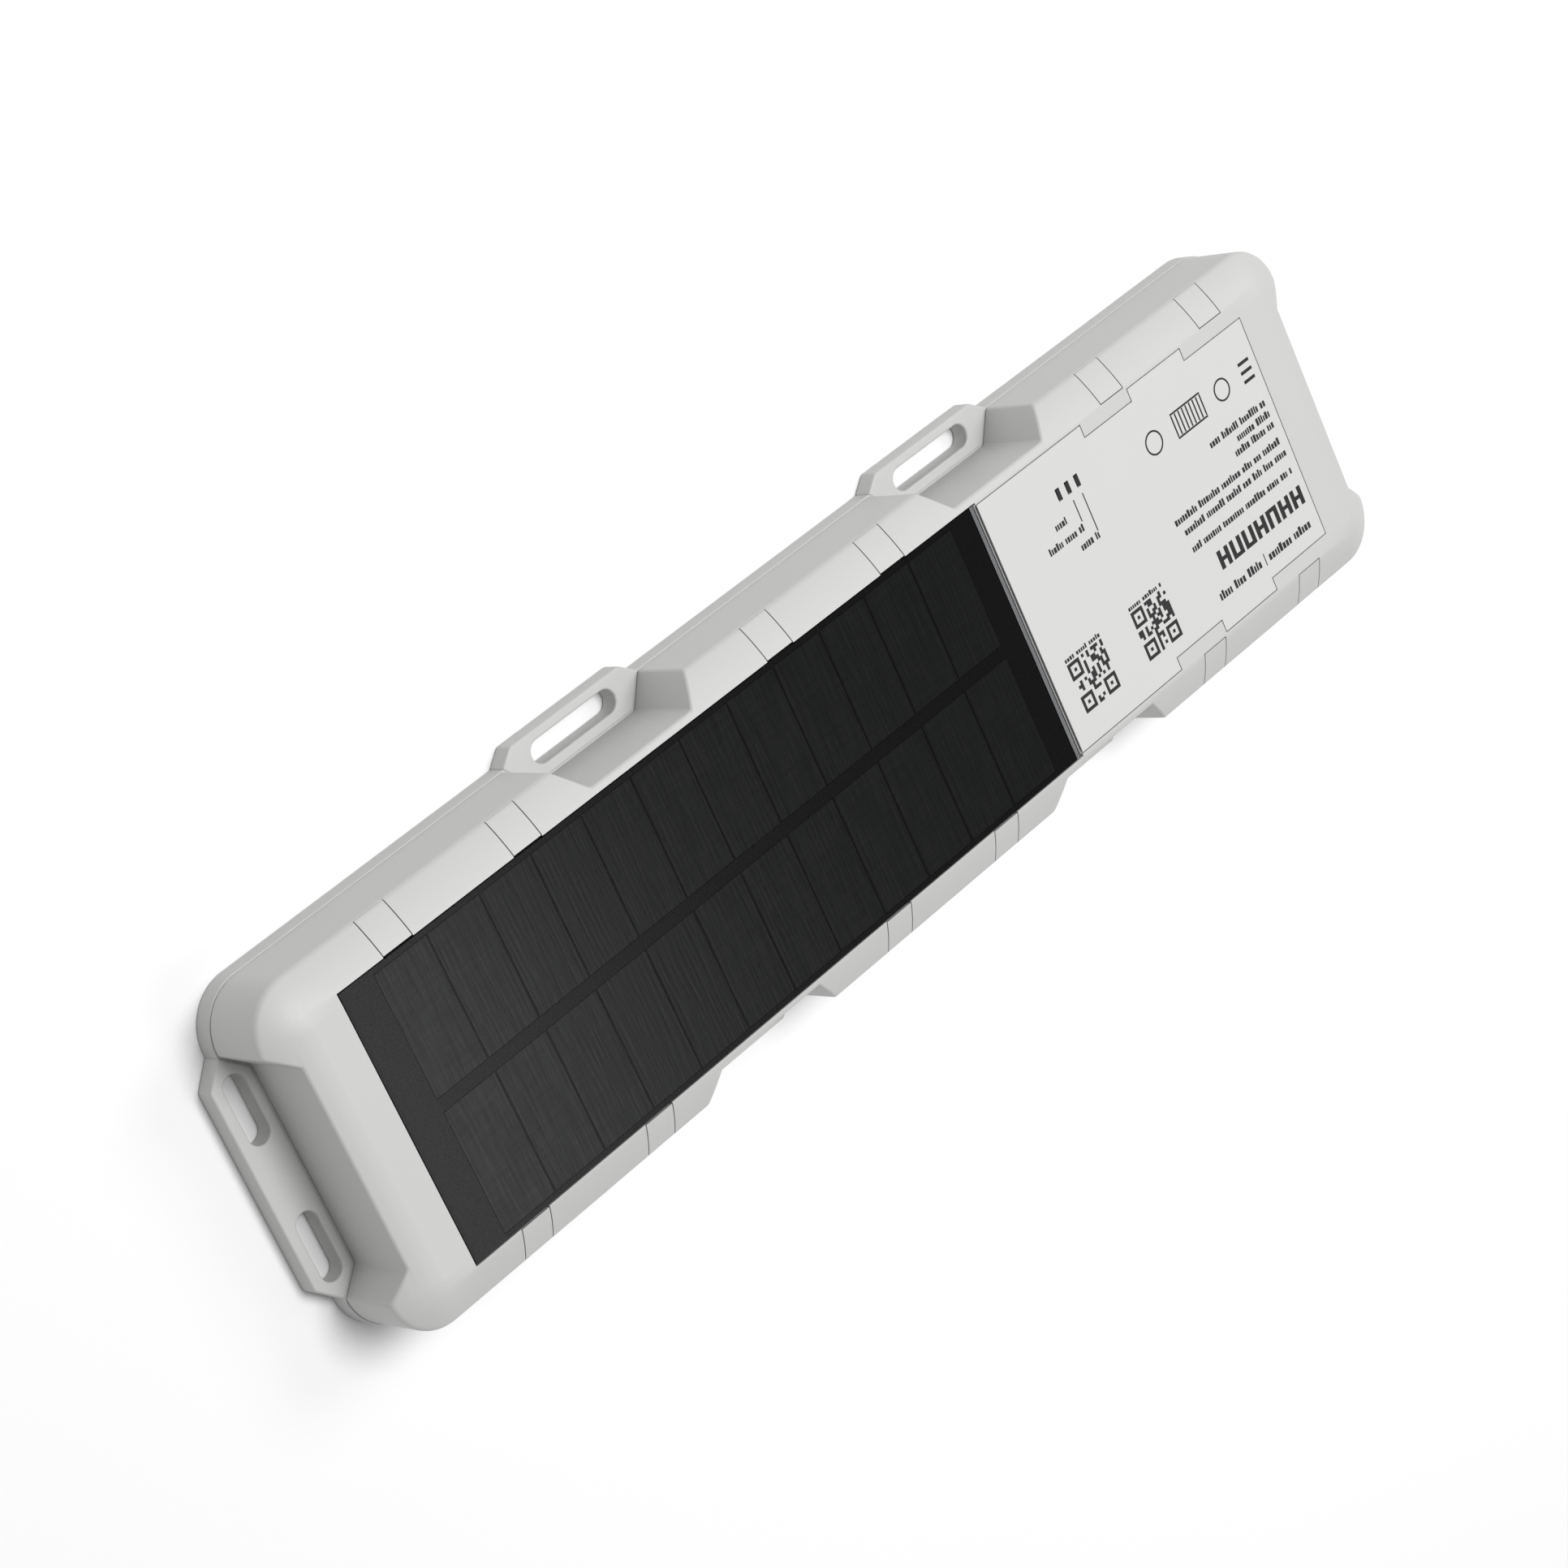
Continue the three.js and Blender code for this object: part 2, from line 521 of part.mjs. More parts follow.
function batteryCradle() {
  const half = (BATTERY_COUNT * batteryPitch) / 2 + BATTERY_GAP / 2;
  const z = FLOOR + FIT_GAP;
  const length = batteryEnd - batteryStart + 2 * FIT_GAP;
  const tray = block(
    [batteryStart - FIT_GAP - CRADLE_WALL, -half, z], [cradleEnd, half, z + CRADLE_HEIGHT],
  );
  const room = batteryRows.map((y) => {
    const g = new THREE.CylinderGeometry(BATTERY_RADIUS + FIT_GAP, BATTERY_RADIUS + FIT_GAP, length, 24);
    const x = (batteryStart + batteryEnd) / 2;
    return solid(g.rotateZ(Math.PI / 2).translate(x, y, batteryHeight));
  });
  return tray.subtract(joined(room));
}

// Lead that the housing holds all the way, as a tube through a few points.
function lead(points, radius) {
  const path = new THREE.CatmullRomCurve3(points.map((p) => new THREE.Vector3(...p)));
  const section = polygon(Array.from({ length: LEAD_SIDES }, (_, i) => {
    const a = (2 * Math.PI * i) / LEAD_SIDES;
    return [radius * Math.cos(a), radius * Math.sin(a)];
  }));
  const steps = Math.ceil(path.getLength() / (radius * 5));
  return new THREE.ExtrudeGeometry(section, { steps, extrudePath: path });
}

function panelLead() {
  const [x, y] = panelHoleAt;
  const z = boardTop + PANEL_LEAD_RADIUS + FIT_GAP;
  return lead([
    [x, y, BODY_HEIGHT - PANEL_THICKNESS - 2 * FIT_GAP], [x, y, ceilingHeight - 3],
    [x + 6, y + 2, z + 4], [boardStart + 4, y + 6, z], [boardStart + 12, y + 6, z],
  ], PANEL_LEAD_RADIUS);
}

function batteryLead() {
  const low = FLOOR + BATTERY_LEAD_RADIUS + FIT_GAP;
  const high = boardTop + BATTERY_LEAD_RADIUS + FIT_GAP;
  const route = [
    [cradleEnd + 1, low], [(cradleEnd + boardStart) / 2, low], [boardStart - 30, low],
    [boardStart - 20, low], [boardStart - 12, low + 0.6], [boardStart - 5, high - 1],
    [boardStart + 1, high + 1.2], [boardStart + 9, high + 0.2],
  ];
  return lead(route.map(([x, z]) => [x, LEAD_OFFSET, z]), BATTERY_LEAD_RADIUS);
}

function ventPlug() {
  const r = VENT.radius;
  const low = FLOOR / 2 + FIT_GAP;
  const profile = [[0, low], [r, low], [r, FLOOR + VENT.flange], [0, FLOOR + VENT.flange]];
  const g = new THREE.LatheGeometry(profile.map(([x, z]) => new THREE.Vector2(x, z)), 24);
  return g.rotateX(Math.PI / 2).translate(...ventAt, 0);
}

// ---- assembly -----------------------------------------------------------------------------------
const part = new THREE.Group();

function add(name, shape, finish) {
  const geometry = shape.isBufferGeometry ? shape : geometryOf(shape);
  geometry.computeVertexNormals();
  const mesh = new THREE.Mesh(geometry, new THREE.MeshStandardMaterial(FINISHES[finish]));
  mesh.name = name;
  part.add(mesh);
}

add("base_shell", baseShell(), "pale_plastic");
add("front_cover", frontCover(), "pale_plastic");
clipCentres.forEach((x, i) => {
  const made = clip(x);
  add(`shoulder_clip_left_${i + 1}`, made, "pale_plastic");
  add(`shoulder_clip_right_${i + 1}`, made.mirror([0, 1, 0]), "pale_plastic");
});
add("panel_laminate", panelLaminate(), "black_laminate");
cells.forEach((cell, i) => {
  const floor = BODY_HEIGHT - CELL_THICKNESS;
  add(`solar_cell_${i + 1}`, cellBlock(cell, 0, floor, BODY_HEIGHT), "silicon");
});
add("panel_end_trim", endTrim(), "grey_metal");
add("label_sheet", solid(prism(
  labelShape(0), BODY_HEIGHT - LABEL_THICKNESS, BODY_HEIGHT,
)).subtract(lightHoles), "white_film");
lightPlaces.forEach((at, i) => {
  add(`light_window_${i + 1}`, lightPipe(at, 0, BODY_HEIGHT - LIGHT_LENGTH, BODY_HEIGHT), "smoke_clear");
});
add("perimeter_gasket", bodyRing(
  GASKET_INSET, GASKET_INSET + GASKET_WIDTH,
  BASE_HEIGHT - GASKET_HEIGHT + FIT_GAP / 2, BASE_HEIGHT + FIT_GAP / 2,
), "black_rubber");
add("main_board", mainBoard(), "green_board");
bossCentres.forEach((at, i) => add(`board_screw_${i + 1}`, boardScrew(at), "steel"));
add("satellite_antenna", satelliteAntenna(), "ceramic");
add("mobile_antenna", mobileAntenna(), "green_board");
add("modem_shield", modemShield(), "steel");
add("battery_cradle", batteryCradle(), "black_plastic");
batteryRows.forEach((y, i) => add(`battery_cell_${i + 1}`, batteryCell(y), "battery_sleeve"));
add("panel_lead", panelLead(), "cable_jacket");
add("battery_lead", batteryLead(), "cable_jacket");
add("vent_plug", ventPlug(), "black_plastic");

export default part;
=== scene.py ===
import math
import random

import bmesh
import bpy
from bpy.props import FloatProperty, FloatVectorProperty, IntProperty, PointerProperty
from mathutils import Matrix, Vector


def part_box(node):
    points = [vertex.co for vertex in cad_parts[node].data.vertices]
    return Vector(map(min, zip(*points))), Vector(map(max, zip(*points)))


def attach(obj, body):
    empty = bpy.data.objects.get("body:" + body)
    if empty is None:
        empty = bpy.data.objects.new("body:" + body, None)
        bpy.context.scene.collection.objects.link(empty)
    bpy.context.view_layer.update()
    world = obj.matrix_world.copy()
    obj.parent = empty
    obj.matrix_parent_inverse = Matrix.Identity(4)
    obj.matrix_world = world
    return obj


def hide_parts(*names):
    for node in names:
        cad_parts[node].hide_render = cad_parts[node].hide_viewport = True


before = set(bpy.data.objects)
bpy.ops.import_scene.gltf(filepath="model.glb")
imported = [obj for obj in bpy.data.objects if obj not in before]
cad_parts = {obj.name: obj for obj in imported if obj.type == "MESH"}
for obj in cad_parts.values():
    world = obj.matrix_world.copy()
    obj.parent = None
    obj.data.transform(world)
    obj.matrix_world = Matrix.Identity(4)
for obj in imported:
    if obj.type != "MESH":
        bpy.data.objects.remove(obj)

bl_info = {
    "name": "Solar Tracker Housing",
    "version": (1, 0, 0),
    "blender": (4, 5, 0),
    "location": "3D View > Sidebar > Tracker",
    "description": "Builds a solar-charged, screw-down tracker housing round its packed solids",
    "category": "Add Mesh",
}

MM = 0.001
BODY = "root"
LONG_SIDES = (1, -1)
# Distances in from the edge, in mm, of the rings that carry the crown: clear of the pocket walls, and
# close together where the side strip leaves the flat.
CROWN_RINGS = (1, 2, 3, 4.2, 5.4, 7, 8.4, 9, 9.6, 10.6, 11.6, 12.4)
SIDE_LUGS = (-64 * MM, 67.5 * MM)  # middles of the side lugs along the body
MERGE = 2e-6  # corners nearer than this are one
NEAR = 0.05 * MM  # how close an edge lies to the wall that it belongs to

# The plain print, in mm. Places across the label are from its middle line, and places along it are from
# the part that each comment names.
PRINT_MARGIN = 2.4  # end of the label to the margin where the lines of print end
# Rows of the lights' legend: place across; start and end along, from the first light; foot of the leader
# line, where the row has one.
LEGEND = ((17.5, -5.4, -0.1, None), (13.1, -10.4, 4.0, 14.5), (8.9, 0.1, 7.8, 9.8))
LEADER_TOP = 20.6
# Lines of print: place across and length, up to the margin.
LINES = ((8.9, 24.2), (5.65, 14.3), (2.5, 16.9), (-2.3, 45.9), (-6.0, 43.9), (-11.1, 43.7))
# Row of marks, from the start of the label: two rings (place and radius), a hatched box between them, and
# three bars that run to the margin.
RINGS = ((62.5, 3.3), (91.5, 3.1))
RING_ACROSS = 19.2
HATCH = {"start": 71, "end": 83.5, "low": 15.6, "high": 22.8, "inset": 0.6, "bars": 9, "pitch": 1.5}
BARS = {"start": 99.9, "low": 16.2, "count": 3, "pitch": 2.5, "width": 0.9}
# Heading: shapes of two upright bars and one crossbar.
HEADING = {"count": 7, "pitch": 5.35, "width": 4.5, "low": -21.2, "high": -16, "bar": 1.1,
           "crossbars": (-21.2, -19.2, -17.1)}
# Line under the heading, in two parts with a bar between: distances from the margin.
UNDERLINE = {"across": -26.7, "first": (41.1, 23.2), "bar": (21.5, 21.2), "bar_low": -28.4, "bar_high": -25,
             "second": 19.7}
CODES = {"starts": (6.2, 32.4), "low": -28, "size": 14, "title_across": -12.8}

# Softboxes: name, place and width in metres, and power in watts.
SOFTBOXES = (("key", (0.2, 0.5, 2.1), 1.2, 38), ("fill", (0.9, 0.4, 1.0), 0.6, 3.5),
             ("sheen", (0.42, -0.66, 1.5), 0.7, 3.2))
WORLD_STRENGTH = 0.27
CAMERA_LENS = 96.556
CAMERA_AT = Matrix((
    (0.65365, 0.52125, -0.54868, -0.57886),
    (-0.39397, 0.85338, 0.34138, 0.34938),
    (0.64617, -0.00698, 0.76316, 0.78825),
    (0, 0, 0, 1)))


def linear(hex_colour):
    """sRGB hex value as linear red, green, blue and alpha."""
    parts = [int(hex_colour[i:i + 2], 16) / 255 for i in (1, 3, 5)]
    return tuple(c / 12.92 if c <= 0.04045 else ((c + 0.055) / 1.055) ** 2.4 for c in parts) + (1.0,)


def length(name, description, default):
    return FloatProperty(name=name, description=description, default=default * MM, min=0, unit="LENGTH",
                         subtype="DISTANCE", precision=5)


def share(name, description, default):
    return FloatProperty(name=name, description=description, default=default, min=0, max=1, subtype="FACTOR")


def colour(name, description, default):
    return FloatVectorProperty(name=name, description=description, default=linear(default), size=4,
                               min=0, max=1, subtype="COLOR")


# ---- sizes and colours --------------------------------------------------------------------------
class TRACKER_PG_housing(bpy.types.PropertyGroup):
    """Sizes of the base and the cover"""
    body_length: length("Body length", "Cover at its shoulder edge, end to end", 371)
    body_width: length("Body width", "Cover at its shoulder edge, side to side", 91.8)
    body_height: length("Body height", "Mounting face to front face", 27.6)
    corner_radius: length("Corner radius", "Corners of the cover seen from the front", 13)
    base_step: length("Base step", "How far the base stands proud of the cover", 0.3)
    base_height: length("Base height", "Mounting face to the rim under the cover", 5.2)
    pad_rise: length("Pad rise", "How far the lug faces stand above that rim", 0.3)
    gap: length("Gap", "Clearance round each fitted piece", 0.3)
    shoulder_drop: length("Shoulder drop", "Front face down to the shoulder edge", 5)
    side_crown: length("Side crown", "Width of the sloping strip along the long sides", 9.3)
    end_crown: length("End crown", "Width of the sloping strip at the ends", 13)
    corner_blend: length("Corner blend", "Over which an end strip passes into a side strip", 16)
    side_start: share("Side start", "Slope where the side strip leaves the flat, over its mean slope", 0.72)
    end_start: share("End start", "Slope where the end strip leaves the flat, over its mean slope", 0.15)
    shoulder_radius: length("Shoulder radius", "Rounding between the sloping strip and the wall", 0.9)
    edge_radius: length("Edge radius", "Rounding of the pocket and lug edges", 0.6)
    wall: length("Wall", "Wall of the cover", 2.4)
    ceiling: length("Ceiling", "Thickness of the cover under its front face", 4)
    floor: length("Floor", "Thickness of the base", 2.2)
    tongue_height: length("Tongue height", "Rim of the base that stands up inside the cover", 3)
    tongue_thickness: length("Tongue thickness", "Thickness of that rim", 1.2)
    label_seat: length("Label seat", "Depth of the recess that the label lies in", 0.9)
    clip_width: length("Clip width", "Width of a shoulder clip, along the body", 8.8)
    clip_thickness: length("Clip thickness", "Thickness of a shoulder clip", 1.4)
    leg_width: length("Leg width", "Width of the leg under a clip", 6)
    leg_thickness: length("Leg thickness", "Thickness of that leg", 1.2)
    leg_rise: length("Leg rise", "How far the leg runs up into the clip, above the shoulder edge", 2.5)
    barb_reach: length("Barb reach", "How far the barb stands out of the leg", 1.1)
    barb_height: length("Barb height", "Height of the barb", 1)
    rim_radius: length("Rim radius", "Rounding of the base's rim", 0.4)
    groove_outer: length("Groove outside", "Shoulder edge to the outer side of the seal's groove", 0.7)
    groove_inner: length("Groove inside", "Shoulder edge to the inner side of the seal's groove", 2.3)
    groove_depth: length("Groove depth", "Depth of the seal's groove", 1)
    boss_radius: length("Boss radius", "Posts that the board is screwed to", 3)
    boss_top: length("Boss top", "Mounting face to the top of those posts", 7.7)
    pilot_radius: length("Pilot radius", "Holes for the board's screws", 1.4)
    vent_wall: length("Vent wall", "Wall round the vent plug's seat", 1.3)
    vent_rise: length("Vent rise", "How far that wall stands above the floor", 1.2)
    vent_lip: length("Vent lip", "Lip that the vent plug rests on", 1)


def lug_sizes(wall, reach, inner, outer, tip, slot_length, slot_inset, slot_pitch):
    """Properties of one kind of lug and of the pocket over it."""
    return {
        "wall": length("Pocket depth", "Shoulder edge to the pocket's inner wall", wall),
        "reach": length("Reach", "How far the lug stands out of the cover", reach),
        "inner": length("Inner length", "Pocket length at its inner wall", inner),
        "outer": length("Outer length", "Pocket length at the shoulder edge", outer),
        "tip": length("Tip length", "Lug length at its tip", tip),
        "slot_length": length("Slot length", "Length of each slot", slot_length),
        "slot_width": length("Slot width", "Width of each slot", 6),
        "slot_inset": length("Slot inset", "Lug tip to the middle of the slot", slot_inset),
        "slot_pitch": length("Slot pitch", "Between the slots of one lug, or 0 for one slot", slot_pitch),
    }


class TRACKER_PG_side_lug(bpy.types.PropertyGroup):
    """Sizes of the one-slot lugs on the long sides"""
    __annotations__ = lug_sizes(wall=7.7, reach=3.9, inner=34.4, outer=46.2, tip=37, slot_length=28,
                                slot_inset=5.5, slot_pitch=0)


class TRACKER_PG_end_lug(bpy.types.PropertyGroup):
    """Sizes of the two-slot lugs at the ends"""
    __annotations__ = lug_sizes(wall=6.2, reach=6, inner=53.6, outer=65.2, tip=53, slot_length=18,
                                slot_inset=6.2, slot_pitch=37)


class TRACKER_PG_print(bpy.types.PropertyGroup):
    """Sizes of the plain print on the label"""
    thickness: length("Ink thickness", "How far the print stands off the label", 0.03)
    stroke: length("Line width", "Width of the leader lines", 0.35)
    mark_stroke: length("Mark line width", "Width of the lines in the row of marks", 0.5)
    letter: length("Letter width", "Mean width of the blocks that stand for letters", 1)
    line_height: length("Line height", "Height of the tallest of those blocks", 2)
    bold_height: length("Bold height", "The same, beside the heading", 2.4)
    small_height: length("Small height", "The same, beside the square codes", 1.3)
    cells: IntProperty(name="Code cells", description="Cells along one side of a square code", default=15,
                       min=5)
    seed: IntProperty(name="Seed", description="Number that the pattern of the blocks starts from", default=7)


class TRACKER_PG_colours(bpy.types.PropertyGroup):
    """Colours of the finishes"""
    housing: colour("Housing", "Pale grey plastic", "#BFBFBE")
    film: colour("Panel backing", "Black sheet seen between the cells", "#020202")
    cell: colour("Solar cell", "Dark silicon under its matt film", "#0A0B0B")
    finger: colour("Cell fingers", "Fine metal lines on the cells", "#161717")
    trim: colour("Trim", "Anodised strip at the end of the panel", "#8E8F91")
    label: colour("Label", "White film", "#C9C9C8")
    ink: colour("Ink", "Plain print on the label", "#161616")
    window: colour("Light window", "Smoked clear plastic", "#2A2B2C")
    board: colour("Circuit board", "Green solder mask", "#1F5A3A")
    battery: colour("Battery sleeve", "Blue shrink sleeve", "#2F6FA8")
    seal: colour("Seal", "Dusty black rubber", "#1C1C1C")
    zinc: colour("Zinc", "Plated steel of the screws and the shield", "#B9BBBE")
    ceramic: colour("Ceramic", "Sand-coloured antenna", "#B9A889")
    nylon: colour("Nylon", "Black cradle and vent plug", "#232425")
    jacket: colour("Lead jacket", "Deep red silicone", "#8C1F1C")
    floor: colour("Floor", "Pale studio floor", "#EFEFEF")


# ---- shapes -------------------------------------------------------------------------------------
def housing():
    return bpy.context.scene.tracker_housing


def middle_of(name):
    return tuple((low + high) / 2 for low, high in zip(*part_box(name)))


def piece_of(name, bm):
    """New object that holds this bmesh, with its faces turned outwards."""
    bmesh.ops.recalc_face_normals(bm, faces=bm.faces[:])
    mesh = bpy.data.meshes.new(name)
    bm.to_mesh(mesh)
    bm.free()
    piece = bpy.data.objects.new(name, mesh)
    bpy.context.scene.collection.objects.link(piece)
    return piece


def lift(bm, height):
    """Closes the flat faces of the bmesh into a solid of this height."""
    made = bmesh.ops.extrude_face_region(bm, geom=bm.faces[:])
    corners = [g for g in made["geom"] if isinstance(g, bmesh.types.BMVert)]
    bmesh.ops.translate(bm, verts=corners, vec=(0, 0, height))


def prism(name, outline, low, high):
    bm = bmesh.new()
    bm.faces.new([bm.verts.new((x, y, low)) for x, y in outline])
    lift(bm, high - low)
    return piece_of(name, bm)


def block(name, low, high):
    bm = bmesh.new()
    bmesh.ops.create_cube(bm, size=1)
    bmesh.ops.scale(bm, verts=bm.verts[:], vec=[b - a for a, b in zip(low, high)])
    bmesh.ops.translate(bm, verts=bm.verts[:], vec=[(a + b) / 2 for a, b in zip(low, high)])
    return piece_of(name, bm)


def rod(name, radius, low, high, at, sides=32):
    bm = bmesh.new()
    bmesh.ops.create_cone(bm, cap_ends=True, segments=sides, radius1=radius, radius2=radius, depth=high - low)
    bmesh.ops.translate(bm, verts=bm.verts[:], vec=(at[0], at[1], (low + high) / 2))
    return piece_of(name, bm)


def outline_face(bm, inset, steps):
    """Flat face with the outline of the body, inset all round."""
    h = housing()
    half = (h.body_length / 2 - inset, h.body_width / 2 - inset)
    bmesh.ops.create_grid(bm, x_segments=1, y_segments=1, size=1)
    bmesh.ops.scale(bm, verts=bm.verts[:], vec=(*half, 1))
    bmesh.ops.bevel(bm, geom=bm.verts[:], offset=h.corner_radius - inset, segments=steps, profile=0.5,
                    affect="VERTICES", material=-1)


def body_plate(name, inset, low, high, steps=16):
    bm = bmesh.new()
    outline_face(bm, inset, steps)
    bmesh.ops.translate(bm, verts=bm.verts[:], vec=(0, 0, low))
    lift(bm, high - low)
    return piece_of(name, bm)


def fall(distance, run, start):
    """Share of the drop this far in from the edge, on a strip that starts at a share of its mean slope
    and steepens towards the edge."""
    t = max(0, 1 - distance / run)
    return start * t + (1 - start) * t * t


def front_drop(x, y, inset):
    """How far the crowned front lies below its flat middle, on a body inset all round."""
    h = housing()
    radius = h.corner_radius - inset
    to_end = h.body_length / 2 - inset - abs(x)
    to_side = h.body_width / 2 - inset - abs(y)
    past = Vector((max(radius - to_end, 0), max(radius - to_side, 0)))
    distance = radius - past.length if past.length > 0 else min(to_end, to_side)
    # 0 along the ends, 1 along the sides, and a soft change from one to the other past a corner.
    turn = min(1, max(0, (to_end - distance) / h.corner_blend))
    sideways = turn * turn * (3 - 2 * turn)
    return h.shoulder_drop * (sideways * fall(distance, min(h.side_crown, radius), h.side_start)
                              + (1 - sideways) * fall(distance, min(h.end_crown, radius), h.end_start))


def crowned_block(name, inset, lowered, low, steps=16):
    """Body with its crowned front, inset all round and lowered."""
    h = housing()
    bm = bmesh.new()
    outline_face(bm, inset, steps)
    inner = bm.faces[:]
    radius = h.corner_radius - inset
    for outer, ring in zip((0, *CROWN_RINGS), CROWN_RINGS):
        bmesh.ops.inset_region(bm, faces=inner, thickness=(ring - outer) * MM * radius / h.corner_radius,
                               use_even_offset=True, use_boundary=True)
    blend_steps = 8
    for side in (1, -1):
        for step in range(blend_steps + 1):
            from_end = radius + h.corner_blend * step / blend_steps
            bmesh.ops.bisect_plane(bm, geom=bm.verts[:] + bm.edges[:] + bm.faces[:], dist=1e-7,
                                   plane_co=(side * (h.body_length / 2 - inset - from_end), 0, 0),
                                   plane_no=(1, 0, 0))
    for v in bm.verts:
        v.co.z = h.body_height - lowered - front_drop(v.co.x, v.co.y, inset)
    rim = [e for e in bm.edges if e.is_boundary]
    made = bmesh.ops.extrude_edge_only(bm, edges=rim)["geom"]
    for v in [g for g in made if isinstance(g, bmesh.types.BMVert)]:
        v.co.z = low
    foot = [g for g in made if isinstance(g, bmesh.types.BMEdge) and g.is_boundary]
    bmesh.ops.contextual_create(bm, geom=foot)
    return piece_of(name, bm)


def combine(piece, tool, operation):
    """Cuts, joins or keeps what is common with the tool, which is then gone."""
    change = piece.modifiers.new("combine", "BOOLEAN")
    change.operation = operation
    change.solver = "MANIFOLD"
    change.object = tool
    bpy.context.view_layer.update()
    made = bpy.data.meshes.new_from_object(piece.evaluated_get(bpy.context.evaluated_depsgraph_get()))
    old = piece.data
    piece.modifiers.clear()
    piece.data = made
    bpy.data.meshes.remove(old)
    spent = tool.data
    bpy.data.objects.remove(tool)
    bpy.data.meshes.remove(spent)
    return piece


def cut(piece, *tools):
    for tool in tools:
        combine(piece, tool, "DIFFERENCE")
    return piece


def join(piece, *tools):
    for tool in tools:
        combine(piece, tool, "UNION")
    return piece


def tidy(bm):
    bmesh.ops.remove_doubles(bm, verts=bm.verts[:], dist=MERGE)
    bmesh.ops.dissolve_degenerate(bm, edges=bm.edges[:], dist=MERGE)


def round_edges(piece, radius, chosen, segments=3):
    """Rounds the edges that `chosen` picks."""
    bm = bmesh.new()
    bm.from_mesh(piece.data)
    tidy(bm)
    edges = [e for e in bm.edges if e.is_manifold and chosen(e)]
    bmesh.ops.bevel(bm, geom=edges, offset=radius, offset_type="OFFSET", segments=segments, profile=0.5,
                    affect="EDGES", material=-1, clamp_overlap=False)
    bmesh.ops.remove_doubles(bm, verts=bm.verts[:], dist=MERGE)
    bm.to_mesh(piece.data)
    bm.free()
    return piece


def sharp(edge, least=40):
    return edge.calc_face_angle(0) > math.radians(least)


def round_shoulder(piece):
    h = housing()
    shoulder = h.body_height - h.shoulder_drop
    return round_edges(piece, h.shoulder_radius,
                       lambda e: sharp(e) and all(abs(v.co.z - shoulder) < 2 * NEAR for v in e.verts), 4)


def smoothed(piece, angle=32):
    """Shades the piece smooth, with its flats kept flat and its sharp edges crisp."""
    bm = bmesh.new()
    bm.from_mesh(piece.data)
    tidy(bm)
    bm.normal_update()
    for face in bm.faces:
        face.smooth = True
    for edge in bm.edges:
        edge.smooth = not sharp(edge, angle)
    bm.to_mesh(piece.data)
    bm.free()
    weighted = piece.modifiers.new("flats", "WEIGHTED_NORMAL")
    weighted.keep_sharp = True
    weighted.mode = "FACE_AREA_WITH_ANGLE"
    return piece


def placed(piece, slot_name, material, *replaced):
    """Gives a finished piece its material and body, and hides the CAD nodes that it stands for."""
    piece.data.materials.clear()
    piece.data.materials.append(material)
    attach(piece, BODY)
    if replaced:
        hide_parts(*replaced)
    return piece


# ---- lugs and pockets ---------------------------------------------------------------------------
def lug_places():
    """Each lug's sizes, with where its middle lies on the edge of the body and how it is turned."""
    scene = bpy.context.scene
    h = housing()
    side, end = scene.tracker_side_lug, scene.tracker_end_lug
    found = []
    for s in LONG_SIDES:
        for x in SIDE_LUGS:
            found.append((side, Matrix.Translation((x, s * h.body_width / 2, 0)) @
                          Matrix.Rotation(0 if s > 0 else math.pi, 4, "Z")))
    for s in (-1, 1):
        found.append((end, Matrix.Translation((s * h.body_length / 2, 0, 0)) @
                      Matrix.Rotation(-s * math.pi / 2, 4, "Z")))
    return found


def moved(piece, place):
    piece.data.transform(place)
    return piece


def pocket_prism(lug, place, grow, low, high):
    h = housing()
    slant = (lug.outer - lug.inner) / 2 / lug.wall
    side = grow * math.hypot(1, slant)
    inner = lug.inner / 2 + side - grow * slant
    past = lug.reach + h.base_step + MM
    outer = lug.outer / 2 + side + past * slant
    depth = -lug.wall - grow
    outline = [(-inner, depth), (inner, depth), (outer, past), (-outer, past)]
    return moved(prism("pocket", outline, low, high), place)


def lug_prism(lug, place, low, high):
    h = housing()
    root, tip = lug.outer / 2, lug.tip / 2
    outline = [(-root, -lug.wall), (root, -lug.wall), (root, h.base_step),
               (tip, lug.reach), (-tip, lug.reach), (-root, h.base_step)]
    return moved(prism("lug", outline, low, high), place)


def slot_prisms(lug, place, low, high):
    centres = [0] if lug.slot_pitch == 0 else [-lug.slot_pitch / 2, lug.slot_pitch / 2]
    made = []
    for centre in centres:
        bm = bmesh.new()
        bmesh.ops.create_grid(bm, x_segments=1, y_segments=1, size=1)
        half = (lug.slot_length / 2, lug.slot_width / 2)
        bmesh.ops.scale(bm, verts=bm.verts[:], vec=(*half, 1))
        # A touch under half the width, so that two corners never meet in one point.
        bmesh.ops.bevel(bm, geom=bm.verts[:], offset=half[1] * 0.995, segments=12, profile=0.5,
                        affect="VERTICES", material=-1)
        bmesh.ops.translate(bm, verts=bm.verts[:], vec=(centre, lug.reach - lug.slot_inset, low))
        lift(bm, high - low)
        made.append(moved(piece_of("slot", bm), place))
    return made


def body_slab(name, inset, low, high):
    """Body outline with its pockets, inset evenly, between two heights."""
    slab = body_plate(name, inset, low, high)
    return cut(slab, *(pocket_prism(lug, at, inset, low - MM, high + MM) for lug, at in lug_places()))


def body_ring(name, outer_inset, inner_inset, low, high):
    return cut(body_slab(name, outer_inset, low, high), body_slab("core", inner_inset, low - MM, high + MM))


